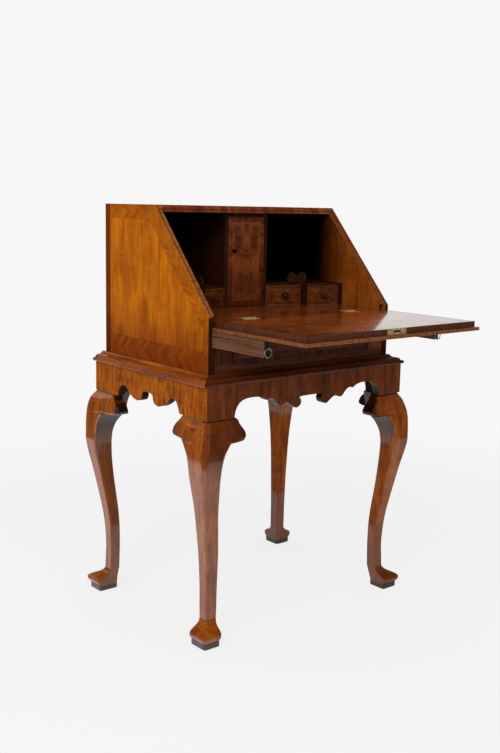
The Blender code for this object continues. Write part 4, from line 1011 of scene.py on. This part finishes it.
# Plain studio: a pale floor that fades into a pale world, one broad lamp from the left and one weak one.
# Polish mirrors the paper below and behind the bureau as white, and the room above and in front as dim.
# Levels in the room are sines of the elevation, and soft is half the width of an edge.
studio = dict(
    background="#F7F7F7", floor="#FCFBFA", floorInner=1.0, floorOuter=2.4, floorSize=4.0,
    floorCover=0.17, fibreSpots=(6.0, 6.0, 6.0), ambient=0.62, room="#3E3834", gap="#14110F",
    paperEdge=-0.262, wallFoot=-0.198, edgeSoft=0.006, paperHead=0.36, paperHeadSoft=0.08,
    backWay=(0.64, 0.77, 0.0), backRange=(0.45, 0.7),
    rightWay=(0.64, -0.77, 0.0), rightRange=(-0.3, 0.3), paperRight=0.62,
    # Narrow windows, mirrored as thin lines along polished arrises: direction in degrees, half width, foot,
    # head and light of each
    windows=(
        (174.0, 0.05, -0.11, 0.75, 3.0), (264.0, 0.05, -0.11, 0.75, 3.0), (112.0, 0.14, 0.3, 0.56, 0.9)),
    windowTint=(1.0, 0.84, 0.66), headSoft=0.04, footSoft=0.03, sideFade=0.02, aheadFade=0.01,
    aim=(0.0, 0.0, 0.5),
    # name, place, power and size of each lamp
    lamps=(("keyLamp", (-2.6, -1.2, 2.6), 42.0, 1.6), ("fillLamp", (-0.6, -2.6, 3.2), 10.0, 0.7)),
)


# The paper and the dim room, as polish mirrors them
def mirroredRoom(direction, rise):
    below = crossing(rise, studio["paperEdge"], studio["edgeSoft"], 1.0, 0.0)
    wall = crossing(rise, studio["wallFoot"], studio["edgeSoft"], 0.0, 1.0)
    room = mixColour(wall, studio["gap"], studio["room"])
    behind = remap(reachAlong(direction, studio["backWay"]), *studio["backRange"], 0.0, 1.0)
    lowEnough = crossing(rise, studio["paperHead"], studio["paperHeadSoft"], 1.0, 0.0)
    backdrop = reckon("MULTIPLY", behind, lowEnough)
    # The paper lies in more shade to the right of the bureau
    toRight = reachAlong(direction, studio["rightWay"])
    shade = remap(toRight, *studio["rightRange"], 1.0, studio["paperRight"])
    shade = reckon("MAXIMUM", shade, backdrop)
    paperColour = mixColour(shade, (0.0, 0.0, 0.0, 1.0), studio["background"])
    return mixColour(reckon("MAXIMUM", below, backdrop), room, paperColour)


# The same with one window in it
def withWindow(direction, rise, mirrored, window):
    turn, half, foot, head, light = window
    high = crossing(rise, head, studio["headSoft"], 1.0, 0.0)
    low = crossing(rise, foot, studio["footSoft"], 0.0, 1.0)
    ahead = (math.cos(math.radians(turn)), math.sin(math.radians(turn)), 0.0)
    aside = (-ahead[1], ahead[0], 0.0)
    off = reckon("ABSOLUTE", reachAlong(direction, aside))
    pane = remap(off, half, half + studio["sideFade"], 1.0, 0.0)
    inFront = remap(reachAlong(direction, ahead), 0.0, studio["aheadFade"], 0.0, 1.0)
    pane = reckon("MULTIPLY", pane, inFront)
    pane = reckon("MULTIPLY", pane, reckon("MULTIPLY", high, low))
    glow = [share * light for share in studio["windowTint"]]
    return mixColour(pane, mirrored, (*glow, 1.0))


world = bpy.data.worlds.new("studio")
bpy.context.scene.world = world
world.use_nodes = True
tree = world.node_tree
tree.nodes.clear()
ray = addNode(tree, "LightPath").outputs
direction = addNode(tree, "TexCoord").outputs["Generated"]
rise = split(direction)[2]
mirrored = mirroredRoom(direction, rise)
for window in studio["windows"]:
    mirrored = withWindow(direction, rise, mirrored, window)
lit = addNode(tree, "Background", {"Color": (1.0, 1.0, 1.0, 1.0), "Strength": studio["ambient"]})
plain = addNode(tree, "Background", {"Color": toLinear(studio["background"]), "Strength": 1.0})
polish = addNode(tree, "Background", {"Strength": 1.0}, {"Color": mirrored})
glossy = addNode(
    tree, "MixShader", {}, {0: ray["Is Glossy Ray"], 1: lit.outputs[0], 2: polish.outputs[0]})
seen = reckon("MAXIMUM", ray["Is Camera Ray"], ray["Is Transmission Ray"])
choose = addNode(tree, "MixShader", {}, {0: seen, 1: glossy.outputs[0], 2: plain.outputs[0]})
addNode(tree, "OutputWorld", {}, {"Surface": choose.outputs[0]})

reach = studio["floorSize"]
floorCorners = [(-reach, -reach, 0.0), (reach, -reach, 0.0), (reach, reach, 0.0), (-reach, reach, 0.0)]
floorMesh = bpy.data.meshes.new("floor")
floorMesh.from_pydata(floorCorners, [], [(0, 1, 2, 3)])
floor = bpy.data.objects.new("floor", floorMesh)
bpy.context.scene.collection.objects.link(floor)
# Matt white paper: a faint grain, fading out towards the backdrop
paper, tree, shader, place = newMaterial("paperMattFloor")
fibre = grainNoise(place, studio["fibreSpots"], 3.0)
tree.links.new(mixColour(fibre, studio["floor"], "#FFFFFF"), shader.inputs["Base Color"])
shader.inputs["Roughness"].default_value = 0.9
distance = addNode(tree, "VectorMath", {"operation": "LENGTH"}, {0: place}).outputs["Value"]
fadeOut = remap(
    distance, studio["floorInner"] * 1000, studio["floorOuter"] * 1000, 1.0 - studio["floorCover"], 1.0)
clear = addNode(tree, "BsdfTransparent")
blend = addNode(tree, "MixShader", {}, {0: fadeOut, 1: shader.outputs[0], 2: clear.outputs[0]})
tree.links.new(blend.outputs[0], tree.nodes["Material Output"].inputs["Surface"])
floorMesh.materials.append(paper)


# A broad lamp aimed at the middle of the bureau
def addLamp(name, place, power, size):
    light = bpy.data.lights.new(name, "AREA")
    light.energy = power
    light.size = size
    lamp = bpy.data.objects.new(name, light)
    lamp.location = place
    lamp.visible_glossy = False
    aim = Vector(studio["aim"]) - Vector(place)
    lamp.rotation_euler = aim.to_track_quat("-Z", "Y").to_euler()
    bpy.context.scene.collection.objects.link(lamp)


for lamp in studio["lamps"]:
    addLamp(*lamp)
bpy.context.scene.view_settings.view_transform = "Standard"
print("camera and light set")
